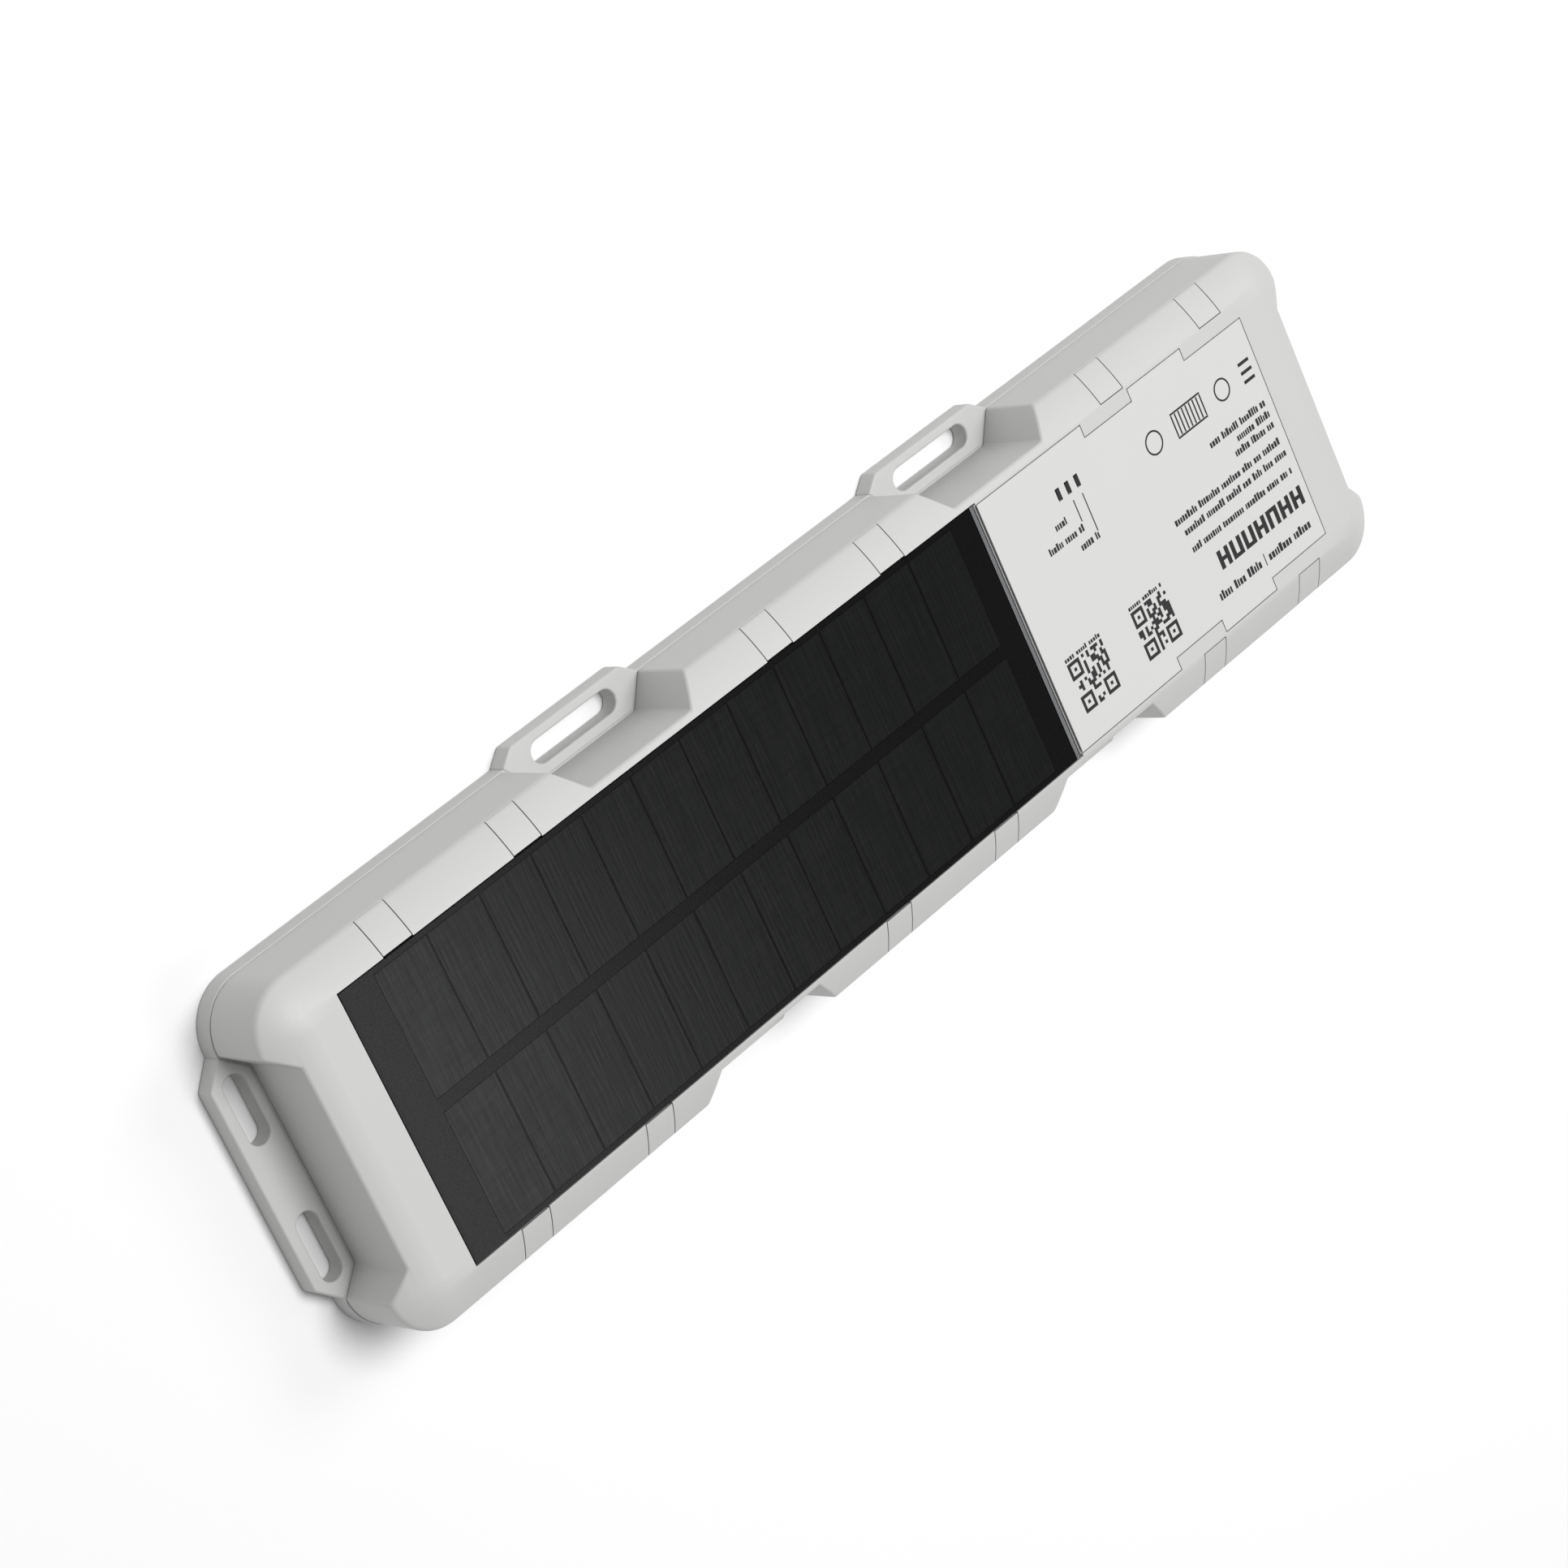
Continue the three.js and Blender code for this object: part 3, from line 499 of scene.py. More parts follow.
# ---- materials ----------------------------------------------------------------------------------
def add(nodes, kind, settings=None, inputs=None):
    """Node of this kind with its settings, and its inputs set to a value or joined to an output."""
    made = nodes.new(kind)
    for name, value in (settings or {}).items():
        setattr(made, name, value)
    for name, value in (inputs or {}).items():
        if isinstance(value, bpy.types.NodeSocket):
            nodes.id_data.links.new(value, made.inputs[name])
        else:
            made.inputs[name].default_value = value
    return made


def surface(name, roughness, **sockets):
    """Material with one shader, whose plain values sit on its own sockets."""
    material = bpy.data.materials.new(name)
    material.use_nodes = True
    nodes = material.node_tree.nodes
    nodes.clear()
    values = {"Roughness": roughness, **{k.replace("_", " "): v for k, v in sockets.items()}}
    shader = add(nodes, "ShaderNodeBsdfPrincipled", inputs=values)
    add(nodes, "ShaderNodeOutputMaterial", inputs={"Surface": shader.outputs[0]})
    where = add(nodes, "ShaderNodeTexCoord").outputs["Object"]
    return material, nodes, shader, where


def wire(nodes, output, shader, socket):
    nodes.id_data.links.new(output, shader.inputs[socket])


def shade(rgba, factor):
    return tuple(min(1, c * factor) for c in rgba[:3]) + (1.0,)


def mottled(nodes, where, rgba, size, spread):
    """Colour that drifts by `spread` over patches of about `size`."""
    # Sockets 6 and 7 of a Mix node are its two colours, and 2 and 3 its two numbers.
    cloud = add(nodes, "ShaderNodeTexNoise", inputs={"Vector": where, "Scale": 1 / size, "Detail": 3.0})
    mix = add(nodes, "ShaderNodeMix", {"data_type": "RGBA"}, {
        0: cloud.outputs[0], 6: shade(rgba, 1 - spread), 7: shade(rgba, 1 + spread)})
    return mix.outputs[2]


def grained(nodes, shader, where, size, height, rough):
    """Fine grain of about `size` as bump, and roughness that follows it between two values."""
    grain = add(nodes, "ShaderNodeTexNoise", inputs={
        "Vector": where, "Scale": 1 / size, "Detail": 2.0, "Roughness": 0.55})
    spread = add(nodes, "ShaderNodeMapRange", inputs={
        "Value": grain.outputs[0], "From Min": 0.3, "From Max": 0.7, "To Min": rough[0], "To Max": rough[1]})
    wire(nodes, spread.outputs[0], shader, "Roughness")
    bump = add(nodes, "ShaderNodeBump", inputs={
        "Height": grain.outputs[0], "Strength": 0.5, "Distance": height})
    wire(nodes, bump.outputs[0], shader, "Normal")


def plain_finish(name, rgba, roughness, patch, spread, grain, height, vary=0.06, **sockets):
    """Finish with a drifting colour and a fine grain, both sized in millimetres."""
    material, nodes, shader, where = surface(name, roughness, **sockets)
    wire(nodes, mottled(nodes, where, rgba, patch * MM, spread), shader, "Base Color")
    grained(nodes, shader, where, grain * MM, height * MM, (roughness - vary, roughness + vary))
    return material


def moulded_asa(name, rgba):
    # ASA, injection moulded against a spark-eroded tool: a satin, very slightly orange-peeled pale grey.
    # The real grain is about 0.1 mm; it is drawn at 0.45 mm so that it still shows.
    return plain_finish(name, rgba, 0.5, 40, 0.012, 0.45, 0.02, IOR=1.52)


def backsheet(rgba, ribbon, ribbon_start, ribbon_end):
    # PET backsheet and encapsulant under a matt film: deep black and a little duller than the cells, with
    # a dark grey ribbon showing through between two places along the panel. The black left before the
    # ribbon's start is painted shade of the gap along the panel's edge.
    material, nodes, shader, where = surface("laminated_black_backsheet", 0.24, IOR=1.31)
    base = mottled(nodes, where, rgba, 12 * MM, 0.08)
    along = add(nodes, "ShaderNodeSeparateXYZ", inputs={0: where}).outputs[0]
    middle, half = (ribbon_start + ribbon_end) / 2, (ribbon_end - ribbon_start) / 2
    from_middle = add(nodes, "ShaderNodeMath", {"operation": "SUBTRACT"}, {0: along, 1: middle})
    away = add(nodes, "ShaderNodeMath", {"operation": "ABSOLUTE"}, {0: from_middle.outputs[0]})
    within = add(nodes, "ShaderNodeMapRange", inputs={
        "Value": away.outputs[0], "From Min": half, "From Max": half - 0.1 * MM})
    mix = add(nodes, "ShaderNodeMix", {"data_type": "RGBA"}, {
        0: within.outputs[0], 6: base, 7: mottled(nodes, where, ribbon, 3 * MM, 0.1)})
    wire(nodes, mix.outputs[2], shader, "Base Color")
    grained(nodes, shader, where, 0.5 * MM, 0.03 * MM, (0.2, 0.28))
    return material


def silicon_under_film(rgba, finger):
    # Monocrystalline silicon with screen-printed fingers under an embossed matt film: near black, with
    # faint fine lines across the panel and a soft ripple where light rakes it.
    material, nodes, shader, where = surface("filmed_silicon_cell", 0.24, IOR=1.34)
    base = mottled(nodes, where, rgba, 9 * MM, 0.07)
    split = add(nodes, "ShaderNodeSeparateXYZ", inputs={0: where})
    # Fingers 1.4 mm apart, about a tenth of that wide.
    turns = add(nodes, "ShaderNodeMath", {"operation": "MULTIPLY"}, {0: split.outputs[0], 1: 1 / (1.4 * MM)})
    wave = add(nodes, "ShaderNodeMath", {"operation": "PINGPONG"}, {0: turns.outputs[0], 1: 0.5})
    line = add(nodes, "ShaderNodeMapRange", inputs={
        "Value": wave.outputs[0], "From Min": 0.03, "From Max": 0.1, "To Min": 0.55, "To Max": 0.0})
    with_lines = add(nodes, "ShaderNodeMix", {"data_type": "RGBA"}, {0: line.outputs[0], 6: base, 7: finger})
    wire(nodes, with_lines.outputs[2], shader, "Base Color")
    # Film rippled across the panel about every 1 mm, and more faintly along it.
    ripples = []
    for squeeze in ((1, 0.07, 1), (0.1, 0.8, 1)):
        stretched = add(nodes, "ShaderNodeMapping", inputs={"Vector": where, "Scale": squeeze})
        ripples.append(add(nodes, "ShaderNodeTexNoise", inputs={
            "Vector": stretched.outputs[0], "Scale": 1 / (0.9 * MM), "Detail": 2.0}).outputs[0])
    weave = add(nodes, "ShaderNodeMix", inputs={0: 0.35, 2: ripples[0], 3: ripples[1]}).outputs[0]
    spread = add(nodes, "ShaderNodeMapRange", inputs={
        "Value": weave, "From Min": 0.35, "From Max": 0.65, "To Min": 0.2, "To Max": 0.28})
    wire(nodes, spread.outputs[0], shader, "Roughness")
    bump = add(nodes, "ShaderNodeBump", inputs={"Height": weave, "Strength": 0.4, "Distance": 0.08 * MM})
    wire(nodes, bump.outputs[0], shader, "Normal")
    return material


def anodised_strip(rgba):
    # Anodised aluminium, brushed along its length: mid grey with fine lines and a soft bright edge.
    material, nodes, shader, where = surface("anodised_aluminium", 0.38, Metallic=1.0)
    stretch = add(nodes, "ShaderNodeMapping", inputs={"Vector": where, "Scale": (1, 0.03, 1)})
    brush = add(nodes, "ShaderNodeTexNoise", inputs={
        "Vector": stretch.outputs[0], "Scale": 1 / (0.25 * MM), "Detail": 3.0})
    mix = add(nodes, "ShaderNodeMix", {"data_type": "RGBA"}, {
        0: brush.outputs[0], 6: shade(rgba, 0.8), 7: shade(rgba, 1.2)})
    wire(nodes, mix.outputs[2], shader, "Base Color")
    spread = add(nodes, "ShaderNodeMapRange", inputs={
        "Value": brush.outputs[0], "To Min": 0.3, "To Max": 0.48})
    wire(nodes, spread.outputs[0], shader, "Roughness")
    return material


def solder_mask(rgba):
    # Epoxy solder mask over copper tracks on glass-epoxy board: glossy green with paler tracks.
    material, nodes, shader, where = surface("solder_masked_board", 0.3, IOR=1.5)
    base = mottled(nodes, where, rgba, 15 * MM, 0.06)
    tracks = add(nodes, "ShaderNodeTexBrick", {"offset": 0.37, "squash": 0.6, "squash_frequency": 3}, {
        "Vector": where, "Scale": 1 / (9 * MM), "Mortar Size": 0.035, "Mortar Smooth": 0.2,
        "Brick Width": 0.9, "Row Height": 0.21})
    mix = add(nodes, "ShaderNodeMix", {"data_type": "RGBA"}, {
        0: tracks.outputs["Fac"], 6: base, 7: shade(rgba, 1.7)})
    wire(nodes, mix.outputs[2], shader, "Base Color")
    grained(nodes, shader, where, 0.5 * MM, 0.01 * MM, (0.25, 0.36))
    return material


def coat(material, *names):
    """Gives this material to CAD nodes."""
    for name in names:
        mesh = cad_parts[name].data
        mesh.materials.clear()
        mesh.materials.append(material)


def names_with(start):
    return sorted(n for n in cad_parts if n.startswith(start))


# ---- print on the label -------------------------------------------------------------------------
def ink_block(bm, x0, x1, y0, y1, low, high):
    made = bmesh.ops.create_cube(bm, size=1)["verts"]
    bmesh.ops.scale(bm, verts=made, vec=(x1 - x0, y1 - y0, high - low))
    bmesh.ops.translate(bm, verts=made, vec=((x0 + x1) / 2, (y0 + y1) / 2, (low + high) / 2))
    return made


def greeked_line(bm, chance, x0, x1, y, height, letter, low, high):
    """Row of small blocks in word-like groups, which stands for a line of text and can't be read."""
    x = x0
    while x < x1 - letter:
        word_end = min(x1, x + letter * chance.uniform(3, 9))
        while x < word_end - 0.5 * letter:
            width = letter * chance.uniform(0.5, 0.95)
            tall = height * chance.choice((0.72, 0.72, 0.8, 1.0))
            ink_block(bm, x, x + width, y - height / 2, y - height / 2 + tall, low, high)
            x += width + 0.28 * letter
        x += 0.9 * letter


def square_code(bm, chance, cells, x0, y0, size, low, high):
    """Square of scattered cells with a framed corner at three corners."""
    cell = size / cells
    hairline = 0.02 * cell
    frame_cells = 5
    taken = set()
    for cx, cy in ((0, 0), (cells - frame_cells, 0), (0, cells - frame_cells)):
        for i in range(-1, frame_cells + 1):
            for j in range(-1, frame_cells + 1):
                taken.add((cx + i, cy + j))
        left, foot = x0 + cx * cell, y0 + cy * cell
        span = frame_cells * cell
        for box in ((0, span, 0, cell), (0, span, span - cell, span), (0, cell, cell, span - cell),
                    (span - cell, span, cell, span - cell), (2 * cell, 3 * cell, 2 * cell, 3 * cell)):
            ink_block(bm, left + box[0], left + box[1], foot + box[2], foot + box[3], low, high)
    for j in range(cells):
        i = 0
        while i < cells:
            run = chance.choice((1, 1, 2, 3))
            run = min(run, cells - i)
            if chance.random() < 0.66 and not any((i + k, j) in taken for k in range(run)):
                ink_block(bm, x0 + i * cell, x0 + (i + run) * cell - hairline,
                          y0 + j * cell, y0 + (j + 1) * cell - hairline, low, high)
                i += run
            i += 1


# ---- operators ----------------------------------------------------------------------------------
class TRACKER_OT_cover(bpy.types.Operator):
    """Builds the crowned front cover with its pockets and seats"""
    bl_idname = "tracker.cover"
    bl_label = "Front Cover"

    def execute(self, context):
        h = housing()
        bottom = h.base_height + h.gap
        cover = round_shoulder(crowned_block("front_cover_shell", 0, 0, bottom))
        above = h.body_height + MM
        cut(cover, *(pocket_prism(lug, at, 0, 0, above) for lug, at in lug_places()))
        round_edges(cover, h.edge_radius, lambda e: sharp(e) and max(v.co.z for v in e.verts) > bottom + MM
                    and self.beside_pocket(e), 3)
        (x0, y0, z0), (_, y1, _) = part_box("panel_laminate")
        x1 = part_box("panel_end_trim")[1].x
        cut(cover, block("seat", (x0 - h.gap, y0 - h.gap, z0 - h.gap), (x1 + h.gap, y1 + h.gap, above)))
        cut(cover, self.label_seat(h))
        for name in names_with("shoulder_clip"):
            cut(cover, self.clip_seat(h, name))
        cavity = crowned_block("cavity", h.wall, h.ceiling, 0, 8)
        cut(cavity, *(pocket_prism(lug, at, h.wall, -MM, h.body_height) for lug, at in lug_places()))
        cut(cover, cavity)
        for name in names_with("light_window"):
            (x0, y0, _), (x1, y1, _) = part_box(name)
            cut(cover, block("hole", (x0 - h.gap, y0 - h.gap, h.body_height - 2 * h.ceiling),
                             (x1 + h.gap, y1 + h.gap, above)))
        plastic = moulded_asa("moulded_asa_cover", context.scene.tracker_colours.housing)
        placed(smoothed(cover), "housing", plastic, "front_cover")
        return {"FINISHED"}

    def beside_pocket(self, edge):
        """True where the edge lies on a wall of a pocket."""
        middle = (edge.verts[0].co + edge.verts[1].co) / 2
        for lug, at in lug_places():
            p = at.inverted() @ middle
            slant = (lug.outer - lug.inner) / 2 / lug.wall
            side = lug.inner / 2 + (p.y + lug.wall) * slant
            if abs(p.y + lug.wall) < NEAR and abs(p.x) < side + NEAR:
                return True
            if -lug.wall - NEAR < p.y < lug.reach and abs(abs(p.x) - side) < NEAR:
                return True
        return False

    def label_seat(self, h):
        """Recess a gap wider than the label all round."""
        bm = bmesh.new()
        bm.from_mesh(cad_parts["label_sheet"].data)
        bmesh.ops.remove_doubles(bm, verts=bm.verts[:], dist=MERGE)
        top = max(v.co.z for v in bm.verts)
        under = [f for f in bm.faces if top - f.calc_center_median().z > NEAR]
        bmesh.ops.delete(bm, geom=under, context="FACES")
        bmesh.ops.dissolve_faces(bm, faces=bm.faces[:])
        # The holes for the light windows have no edge as long as this.
        bmesh.ops.holes_fill(bm, edges=[e for e in bm.edges if e.is_boundary and e.calc_length() < 3 * MM])
        bmesh.ops.dissolve_faces(bm, faces=bm.faces[:])
        bmesh.ops.dissolve_limit(bm, angle_limit=0.01, verts=bm.verts[:], edges=bm.edges[:])
        edging = bmesh.ops.inset_region(bm, faces=bm.faces[:], thickness=-h.gap, use_even_offset=True,
                                        use_boundary=True)["faces"]
        bmesh.ops.delete(bm, geom=edging, context="FACES")
        bmesh.ops.translate(bm, verts=bm.verts[:], vec=(0, 0, h.body_height - h.label_seat - top))
        lift(bm, h.label_seat + MM)
        return piece_of("label_seat", bm)

    def clip_seat(self, h, name):
        """Recess a gap wider than the clip all round."""
        x, y, _ = middle_of(name)
        under = h.clip_thickness + h.gap
        seat = clip_block(h, x, math.copysign(1, y), h.gap)
        return cut(seat, crowned_block("below", under, under, 0, 4))


def clip_block(h, x, side, grow):
    """Block over the place of one clip, from beside the panel out past the shoulder."""
    half = h.clip_width / 2 + grow
    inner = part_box("panel_laminate")[1].y + 2 * h.gap - grow
    y = sorted((side * inner, side * (h.body_width / 2 + MM)))
    low = h.body_height - h.shoulder_drop - grow
    return block("clip", (x - half, y[0], low), (x + half, y[1], h.body_height + MM))


class TRACKER_OT_clips(bpy.types.Operator):
    """Builds the twelve clips that are flush with the shoulder"""
    bl_idname = "tracker.clips"
    bl_label = "Shoulder Clips"

    def execute(self, context):
        h = housing()
        outside = round_shoulder(crowned_block("outside", 0, 0, 0))
        saddle = combine(clip_block(h, 0, 1, 0), outside, "INTERSECT")
        cut(saddle, crowned_block("below", h.clip_thickness, h.clip_thickness, 0, 4))
        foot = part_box("shoulder_clip_left_1")[0].z
        leg_outer = h.body_width / 2 - h.wall - 3 * h.gap - h.tongue_thickness
        leg_inner = leg_outer - h.leg_thickness
        half = h.leg_width / 2
        leg = block("leg", (-half, leg_inner, foot),
                    (half, leg_outer, h.body_height - h.shoulder_drop + h.leg_rise))
        barb = block("barb", (-half, leg_outer - h.leg_thickness / 2, foot),
                     (half, leg_outer + h.barb_reach, foot + h.barb_height))
        join(saddle, leg, barb)
        plastic = moulded_asa("moulded_asa_clip", shade(context.scene.tracker_colours.housing, 1.01))
        for name in names_with("shoulder_clip"):
            x, y, _ = middle_of(name)
            mesh = saddle.data.copy()
            mesh.transform(Matrix.Translation((x, 0, 0)) @ Matrix.Scale(math.copysign(1, y), 4, (0, 1, 0)))
            if y < 0:
                mesh.flip_normals()
            clip = bpy.data.objects.new(name.replace("shoulder_clip", "clip"), mesh)
            context.scene.collection.objects.link(clip)
            placed(smoothed(clip), "clip", plastic, name)
        bpy.data.objects.remove(saddle)
        return {"FINISHED"}


class TRACKER_OT_base(bpy.types.Operator):
    """Builds the base with its slotted lugs"""
    bl_idname = "tracker.base"
    bl_label = "Base"

    def execute(self, context):
        h = housing()
        base = body_plate("base_tray", -h.base_step, 0, h.base_height)
        round_edges(base, h.rim_radius, sharp)
        top = h.base_height + h.pad_rise
        for lug, at in lug_places():
            pad = lug_prism(lug, at, 0, top)
            combine(pad, pocket_prism(lug, at, -h.gap, -MM, top + MM), "INTERSECT")
            join(base, round_edges(pad, h.edge_radius, lambda e: sharp(e, 20)))
        for lug, at in lug_places():
            cut(base, *slot_prisms(lug, at, -MM, top + MM))
        round_edges(base, h.edge_radius, self.on_slot_rim)
        tongue_outer = h.wall + h.gap
        tongue_inner = tongue_outer + h.tongue_thickness
        bottom = h.base_height - h.groove_depth
        cut(base, body_slab("hollow", tongue_inner, h.floor, h.body_height))
        cut(base, body_ring("groove", h.groove_outer, h.groove_inner, bottom, h.body_height))
        join(base, body_ring("tongue", tongue_outer, tongue_inner, bottom, h.base_height + h.tongue_height))
        for name in names_with("board_screw"):
            at = middle_of(name)
            boss = rod("boss", h.boss_radius, h.floor - MM, h.boss_top, at)
            join(base, cut(boss, rod("pilot", h.pilot_radius, h.floor, h.body_height, at, 24)))
        at = middle_of("vent_plug")
        radius = at[0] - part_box("vent_plug")[0].x
        join(base, rod("vent_boss", radius + h.vent_wall, h.floor / 4, h.floor + h.vent_rise, at, 48))
        cut(base, rod("vent_seat", radius + h.gap, h.floor / 2, h.body_height, at, 48))
        cut(base, rod("vent_hole", radius - h.vent_lip, -MM, h.body_height, at, 48))
        plastic = moulded_asa("moulded_asa_base", shade(context.scene.tracker_colours.housing, 0.97))
        placed(smoothed(base), "housing", plastic, "base_shell")
        return {"FINISHED"}

    def on_slot_rim(self, edge):
        """True on the rim of a slot, above and below."""
        h = housing()
        faces = (0, h.base_height + h.pad_rise)
        if not sharp(edge) or not any(all(abs(v.co.z - z) < NEAR / 5 for v in edge.verts) for z in faces):
            return False
        middle = (edge.verts[0].co + edge.verts[1].co) / 2
        for lug, at in lug_places():
            p = at.inverted() @ middle
            across = abs(p.y - lug.reach + lug.slot_inset)
            along = abs(abs(p.x) - lug.slot_pitch / 2) - (lug.slot_length - lug.slot_width) / 2
            if math.hypot(max(along, 0), across) < lug.slot_width / 2 + 2 * NEAR:
                return True
        return False


class TRACKER_OT_panel(bpy.types.Operator):
    """Finishes the solar panel and the strip at its end"""
    bl_idname = "tracker.panel"
    bl_label = "Solar Panel"

    def execute(self, context):
        c = context.scene.tracker_colours
        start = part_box("panel_laminate")[0].x
        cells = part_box("solar_cell_1")[0].x
        # The ribbon starts 1 mm in, so the panel's first millimetre stays black: painted shade in the gap
        # between the panel and the cover.
        coat(backsheet(c.film, c.cell, start + MM, cells), "panel_laminate")
        coat(silicon_under_film(c.cell, c.finger), *names_with("solar_cell"))
        coat(anodised_strip(c.trim), "panel_end_trim")
        return {"FINISHED"}


class TRACKER_OT_label(bpy.types.Operator):
    """Finishes the label and prints plain blocks on it, and finishes the light windows"""
    bl_idname = "tracker.label"
    bl_label = "Label"

    def execute(self, context):
        c = context.scene.tracker_colours
        p = context.scene.tracker_print
        # Polyester label film: a flat satin white, a touch smoother than the plastic round it.
        coat(plain_finish("polyester_label_film", c.label, 0.42, 30, 0.01, 0.6, 0.008, 0.04, IOR=1.57),
             "label_sheet")
        # Polycarbonate light pipe, tinted: dark, glassy and smooth.
        coat(plain_finish("smoked_polycarbonate", c.window, 0.12, 1.5, 0.1, 0.6, 0.003, 0.04, IOR=1.58,
                          Coat_Weight=0.3), *names_with("light_window"))
        (start, _, _), (end, _, top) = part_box("label_sheet")
        end -= PRINT_MARGIN * MM
        heights = (top, top + p.thickness)
        chance = random.Random(p.seed)
        bm = bmesh.new()
        # Legend of the lights, with a leader line to each row but the first.
        lights = [middle_of(name)[0] for name in names_with("light_window")]
        for x, (y, left, right, foot) in zip(lights, LEGEND):
            if foot:
                ink_block(bm, x - p.stroke / 2, x + p.stroke / 2, foot * MM, LEADER_TOP * MM, *heights)
            greeked_line(bm, chance, lights[0] + left * MM, lights[0] + right * MM, y * MM, p.line_height,
                         p.letter, *heights)
        self.marks(bm, p, start, end, heights)
        for y, reach in LINES:
            greeked_line(bm, chance, end - reach * MM, end, y * MM, p.line_height, p.letter, *heights)
        self.heading(bm, chance, p, end, heights)
        # Two square codes, each under a line of print.
        size = CODES["size"] * MM
        for x in CODES["starts"]:
            left = start + x * MM
            square_code(bm, chance, p.cells, left, CODES["low"] * MM, size, *heights)
            greeked_line(bm, chance, left, left + size, CODES["title_across"] * MM, p.small_height,
                         0.9 * p.letter, *heights)
        # Screen-printed ink: near black, slightly uneven in cover.
        ink = plain_finish("screen_printed_ink", c.ink, 0.56, 0.8, 0.35, 0.3, 0.005, IOR=1.5)
        placed(piece_of("label_print", bm), "label", ink)
        return {"FINISHED"}

    def marks(self, bm, p, start, end, heights):
        """Row of plain marks: two rings, a hatched box and three bars."""
        for x, radius in RINGS:
            self.ring(bm, start + x * MM, RING_ACROSS * MM, radius * MM, p.mark_stroke, *heights)
        left, right, low, high, inset = (HATCH[k] * MM for k in ("start", "end", "low", "high", "inset"))
        for i in range(HATCH["bars"]):
            x = start + left + i * HATCH["pitch"] * MM
            ink_block(bm, x, x + p.mark_stroke, low + inset, high - inset, *heights)
        for y in (low, high - p.mark_stroke):
            ink_block(bm, start + left, start + right, y, y + p.mark_stroke, *heights)
        for i in range(BARS["count"]):
            y = (BARS["low"] + i * BARS["pitch"]) * MM
            ink_block(bm, start + BARS["start"] * MM, end, y, y + BARS["width"] * MM, *heights)

    def heading(self, bm, chance, p, end, heights):
        """Bold shapes of two upright bars and one crossbar, with a line of print under them."""
        pitch, width, low, high, bar = (HEADING[k] * MM for k in ("pitch", "width", "low", "high", "bar"))
        for i in range(HEADING["count"]):
            x = end - i * pitch - width
            foot = chance.choice(HEADING["crossbars"]) * MM
            for left, right in ((x, x + width / 3), (x + width * 2 / 3, x + width)):
                ink_block(bm, left, right, low, high, *heights)
            ink_block(bm, x + width / 3, x + width * 2 / 3, foot, foot + bar, *heights)
        across = UNDERLINE["across"] * MM
        first, bar = ([end - reach * MM for reach in UNDERLINE[k]] for k in ("first", "bar"))
        greeked_line(bm, chance, *first, across, p.bold_height, 1.2 * p.letter, *heights)
        ink_block(bm, *bar, UNDERLINE["bar_low"] * MM, UNDERLINE["bar_high"] * MM, *heights)
        greeked_line(bm, chance, end - UNDERLINE["second"] * MM, end, across, p.bold_height, 1.2 * p.letter,
                     *heights)

    def ring(self, bm, x, y, radius, stroke, low, high):
        made = bmesh.ops.create_circle(bm, cap_ends=True, segments=40, radius=radius)["verts"]
        face = made[0].link_faces[0]
        bmesh.ops.translate(bm, verts=made, vec=(x, y, low))
        inner = bmesh.ops.inset_region(bm, faces=[face], thickness=stroke, use_boundary=True)["faces"]
        bmesh.ops.delete(bm, geom=[face], context="FACES_ONLY")
        made = bmesh.ops.extrude_face_region(bm, geom=inner)["geom"]
        upper = [g for g in made if isinstance(g, bmesh.types.BMVert)]
        bmesh.ops.translate(bm, verts=upper, vec=(0, 0, high - low))


class TRACKER_OT_inside(bpy.types.Operator):
    """Finishes the battery, the electronics and the seal"""
    bl_idname = "tracker.inside"
    bl_label = "Inside"

    def execute(self, context):
        c = context.scene.tracker_colours
        # EPDM seal, moulded: dull black with a dusty bloom.
        coat(plain_finish("moulded_epdm", c.seal, 0.8, 6, 0.15, 0.4, 0.02, IOR=1.5), "perimeter_gasket")
        coat(solder_mask(c.board), "main_board", "mobile_antenna")
        # Zinc-plated steel: cool silvery grey, slightly cloudy.
        coat(plain_finish("zinc_plated_steel", c.zinc, 0.34, 2, 0.06, 0.3, 0.004, Metallic=1.0),
             *names_with("board_screw"), "modem_shield")
        # Fired ceramic with a silver face: matt sand colour.
        coat(plain_finish("fired_ceramic", c.ceramic, 0.5, 3, 0.08, 0.3, 0.01, IOR=1.6), "satellite_antenna")
        # PVC shrink sleeve: smooth mid blue with a soft gloss.
        coat(plain_finish("pvc_shrink_sleeve", c.battery, 0.32, 20, 0.05, 1.2, 0.02, IOR=1.53),
             *names_with("battery_cell"))
        # Glass-filled nylon, moulded: matt black with a faint fleck.
        coat(plain_finish("moulded_nylon", c.nylon, 0.6, 2, 0.12, 0.4, 0.02, IOR=1.53),
             "battery_cradle", "vent_plug")
        # Silicone wire jacket: dull deep red.
        coat(plain_finish("silicone_jacket", c.jacket, 0.6, 3, 0.1, 0.3, 0.01, IOR=1.41),
             "panel_lead", "battery_lead")
        return {"FINISHED"}


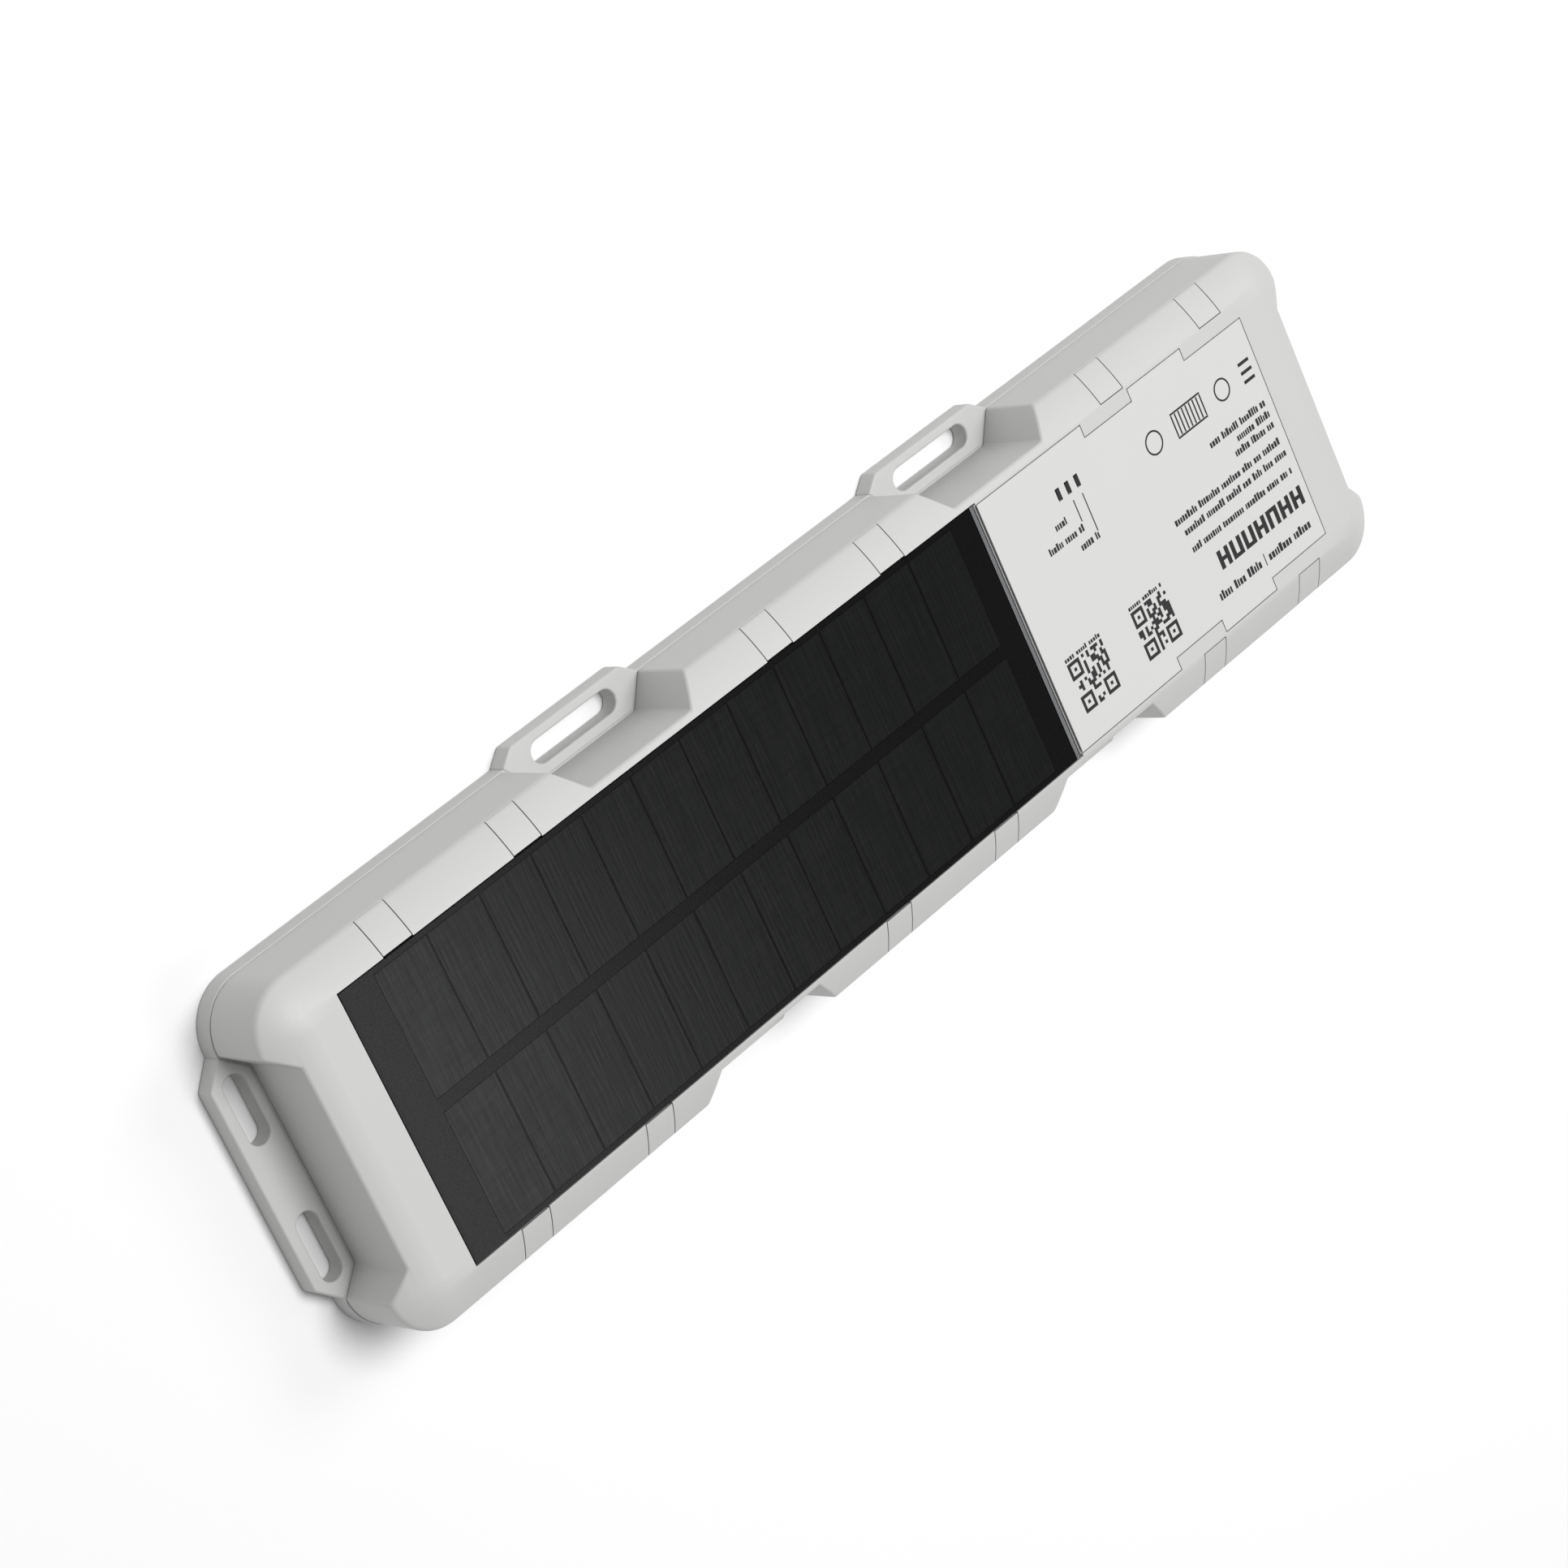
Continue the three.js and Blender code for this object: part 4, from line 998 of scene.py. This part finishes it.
class TRACKER_OT_stage(bpy.types.Operator):
    """Sets the pale floor, the soft studio lights and the camera"""
    bl_idname = "tracker.stage"
    bl_label = "Stage"

    def execute(self, context):
        c = context.scene.tracker_colours
        bm = bmesh.new()
        bmesh.ops.create_grid(bm, x_segments=8, y_segments=8, size=6)
        bmesh.ops.translate(bm, verts=bm.verts[:], vec=(0, 0, -0.05 * MM))
        floor = piece_of("studio_floor", bm)
        # Coated paper roll: even, matt, very nearly white.
        material, nodes, shader, where = surface("coated_paper", 0.9, IOR=1.4)
        wire(nodes, mottled(nodes, where, c.floor, 300 * MM, 0.006), shader, "Base Color")
        floor.data.materials.append(material)
        self.world(context)
        for name, place, width, power in SOFTBOXES:
            self.softbox(name, place, width, power)
        # White paper stays white.
        context.scene.view_settings.view_transform = "Standard"
        camera = bpy.data.objects.new("camera", bpy.data.cameras.new("camera"))
        context.scene.collection.objects.link(camera)
        camera.data.lens = CAMERA_LENS
        camera.matrix_world = CAMERA_AT
        context.scene.camera = camera
        return {"FINISHED"}

    def world(self, context):
        world = bpy.data.worlds.new("studio")
        world.use_nodes = True
        nodes = world.node_tree.nodes
        nodes.clear()
        back = add(nodes, "ShaderNodeBackground", inputs={"Color": (1, 1, 1, 1), "Strength": WORLD_STRENGTH})
        add(nodes, "ShaderNodeOutputWorld", inputs={"Surface": back.outputs[0]})
        context.scene.world = world

    def softbox(self, name, place, width, power):
        """Round soft lamp that faces the middle of the object."""
        lamp = bpy.data.lights.new(name, "AREA")
        lamp.shape = "DISK"
        lamp.size = width
        lamp.energy = power
        light = bpy.data.objects.new(name, lamp)
        light.location = place
        light.rotation_euler = (-Vector(place)).to_track_quat("-Z", "Y").to_euler()
        bpy.context.scene.collection.objects.link(light)


class TRACKER_PT_sidebar(bpy.types.Panel):
    """Lists the pieces of the housing"""
    bl_label = "Solar Tracker Housing"
    bl_idname = "TRACKER_PT_sidebar"
    bl_space_type = "VIEW_3D"
    bl_region_type = "UI"
    bl_category = "Tracker"

    def draw(self, context):
        for operator in OPERATORS:
            self.layout.operator(operator.bl_idname)
        for name in GROUPS:
            group = getattr(context.scene, name)
            box = self.layout.box()
            box.label(text=group.bl_rna.description)
            for prop in group.bl_rna.properties:
                if prop.identifier not in {"rna_type", "name"}:
                    box.prop(group, prop.identifier)


OPERATORS = (TRACKER_OT_cover, TRACKER_OT_clips, TRACKER_OT_base, TRACKER_OT_panel, TRACKER_OT_label,
             TRACKER_OT_inside, TRACKER_OT_stage)
GROUPS = {"tracker_housing": TRACKER_PG_housing, "tracker_side_lug": TRACKER_PG_side_lug,
          "tracker_end_lug": TRACKER_PG_end_lug, "tracker_print": TRACKER_PG_print,
          "tracker_colours": TRACKER_PG_colours}


def register():
    for cls in (*GROUPS.values(), *OPERATORS, TRACKER_PT_sidebar):
        bpy.utils.register_class(cls)
    for name, group in GROUPS.items():
        setattr(bpy.types.Scene, name, PointerProperty(type=group))


def unregister():
    for name in GROUPS:
        delattr(bpy.types.Scene, name)
    for cls in (TRACKER_PT_sidebar, *OPERATORS, *GROUPS.values()):
        bpy.utils.unregister_class(cls)


def main():
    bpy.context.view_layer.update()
    register()
    bpy.ops.tracker.cover()
    bpy.ops.tracker.clips()
    bpy.ops.tracker.base()
    bpy.ops.tracker.panel()
    bpy.ops.tracker.label()
    bpy.ops.tracker.inside()
    bpy.ops.tracker.stage()


if __name__ == "__main__":
    main()
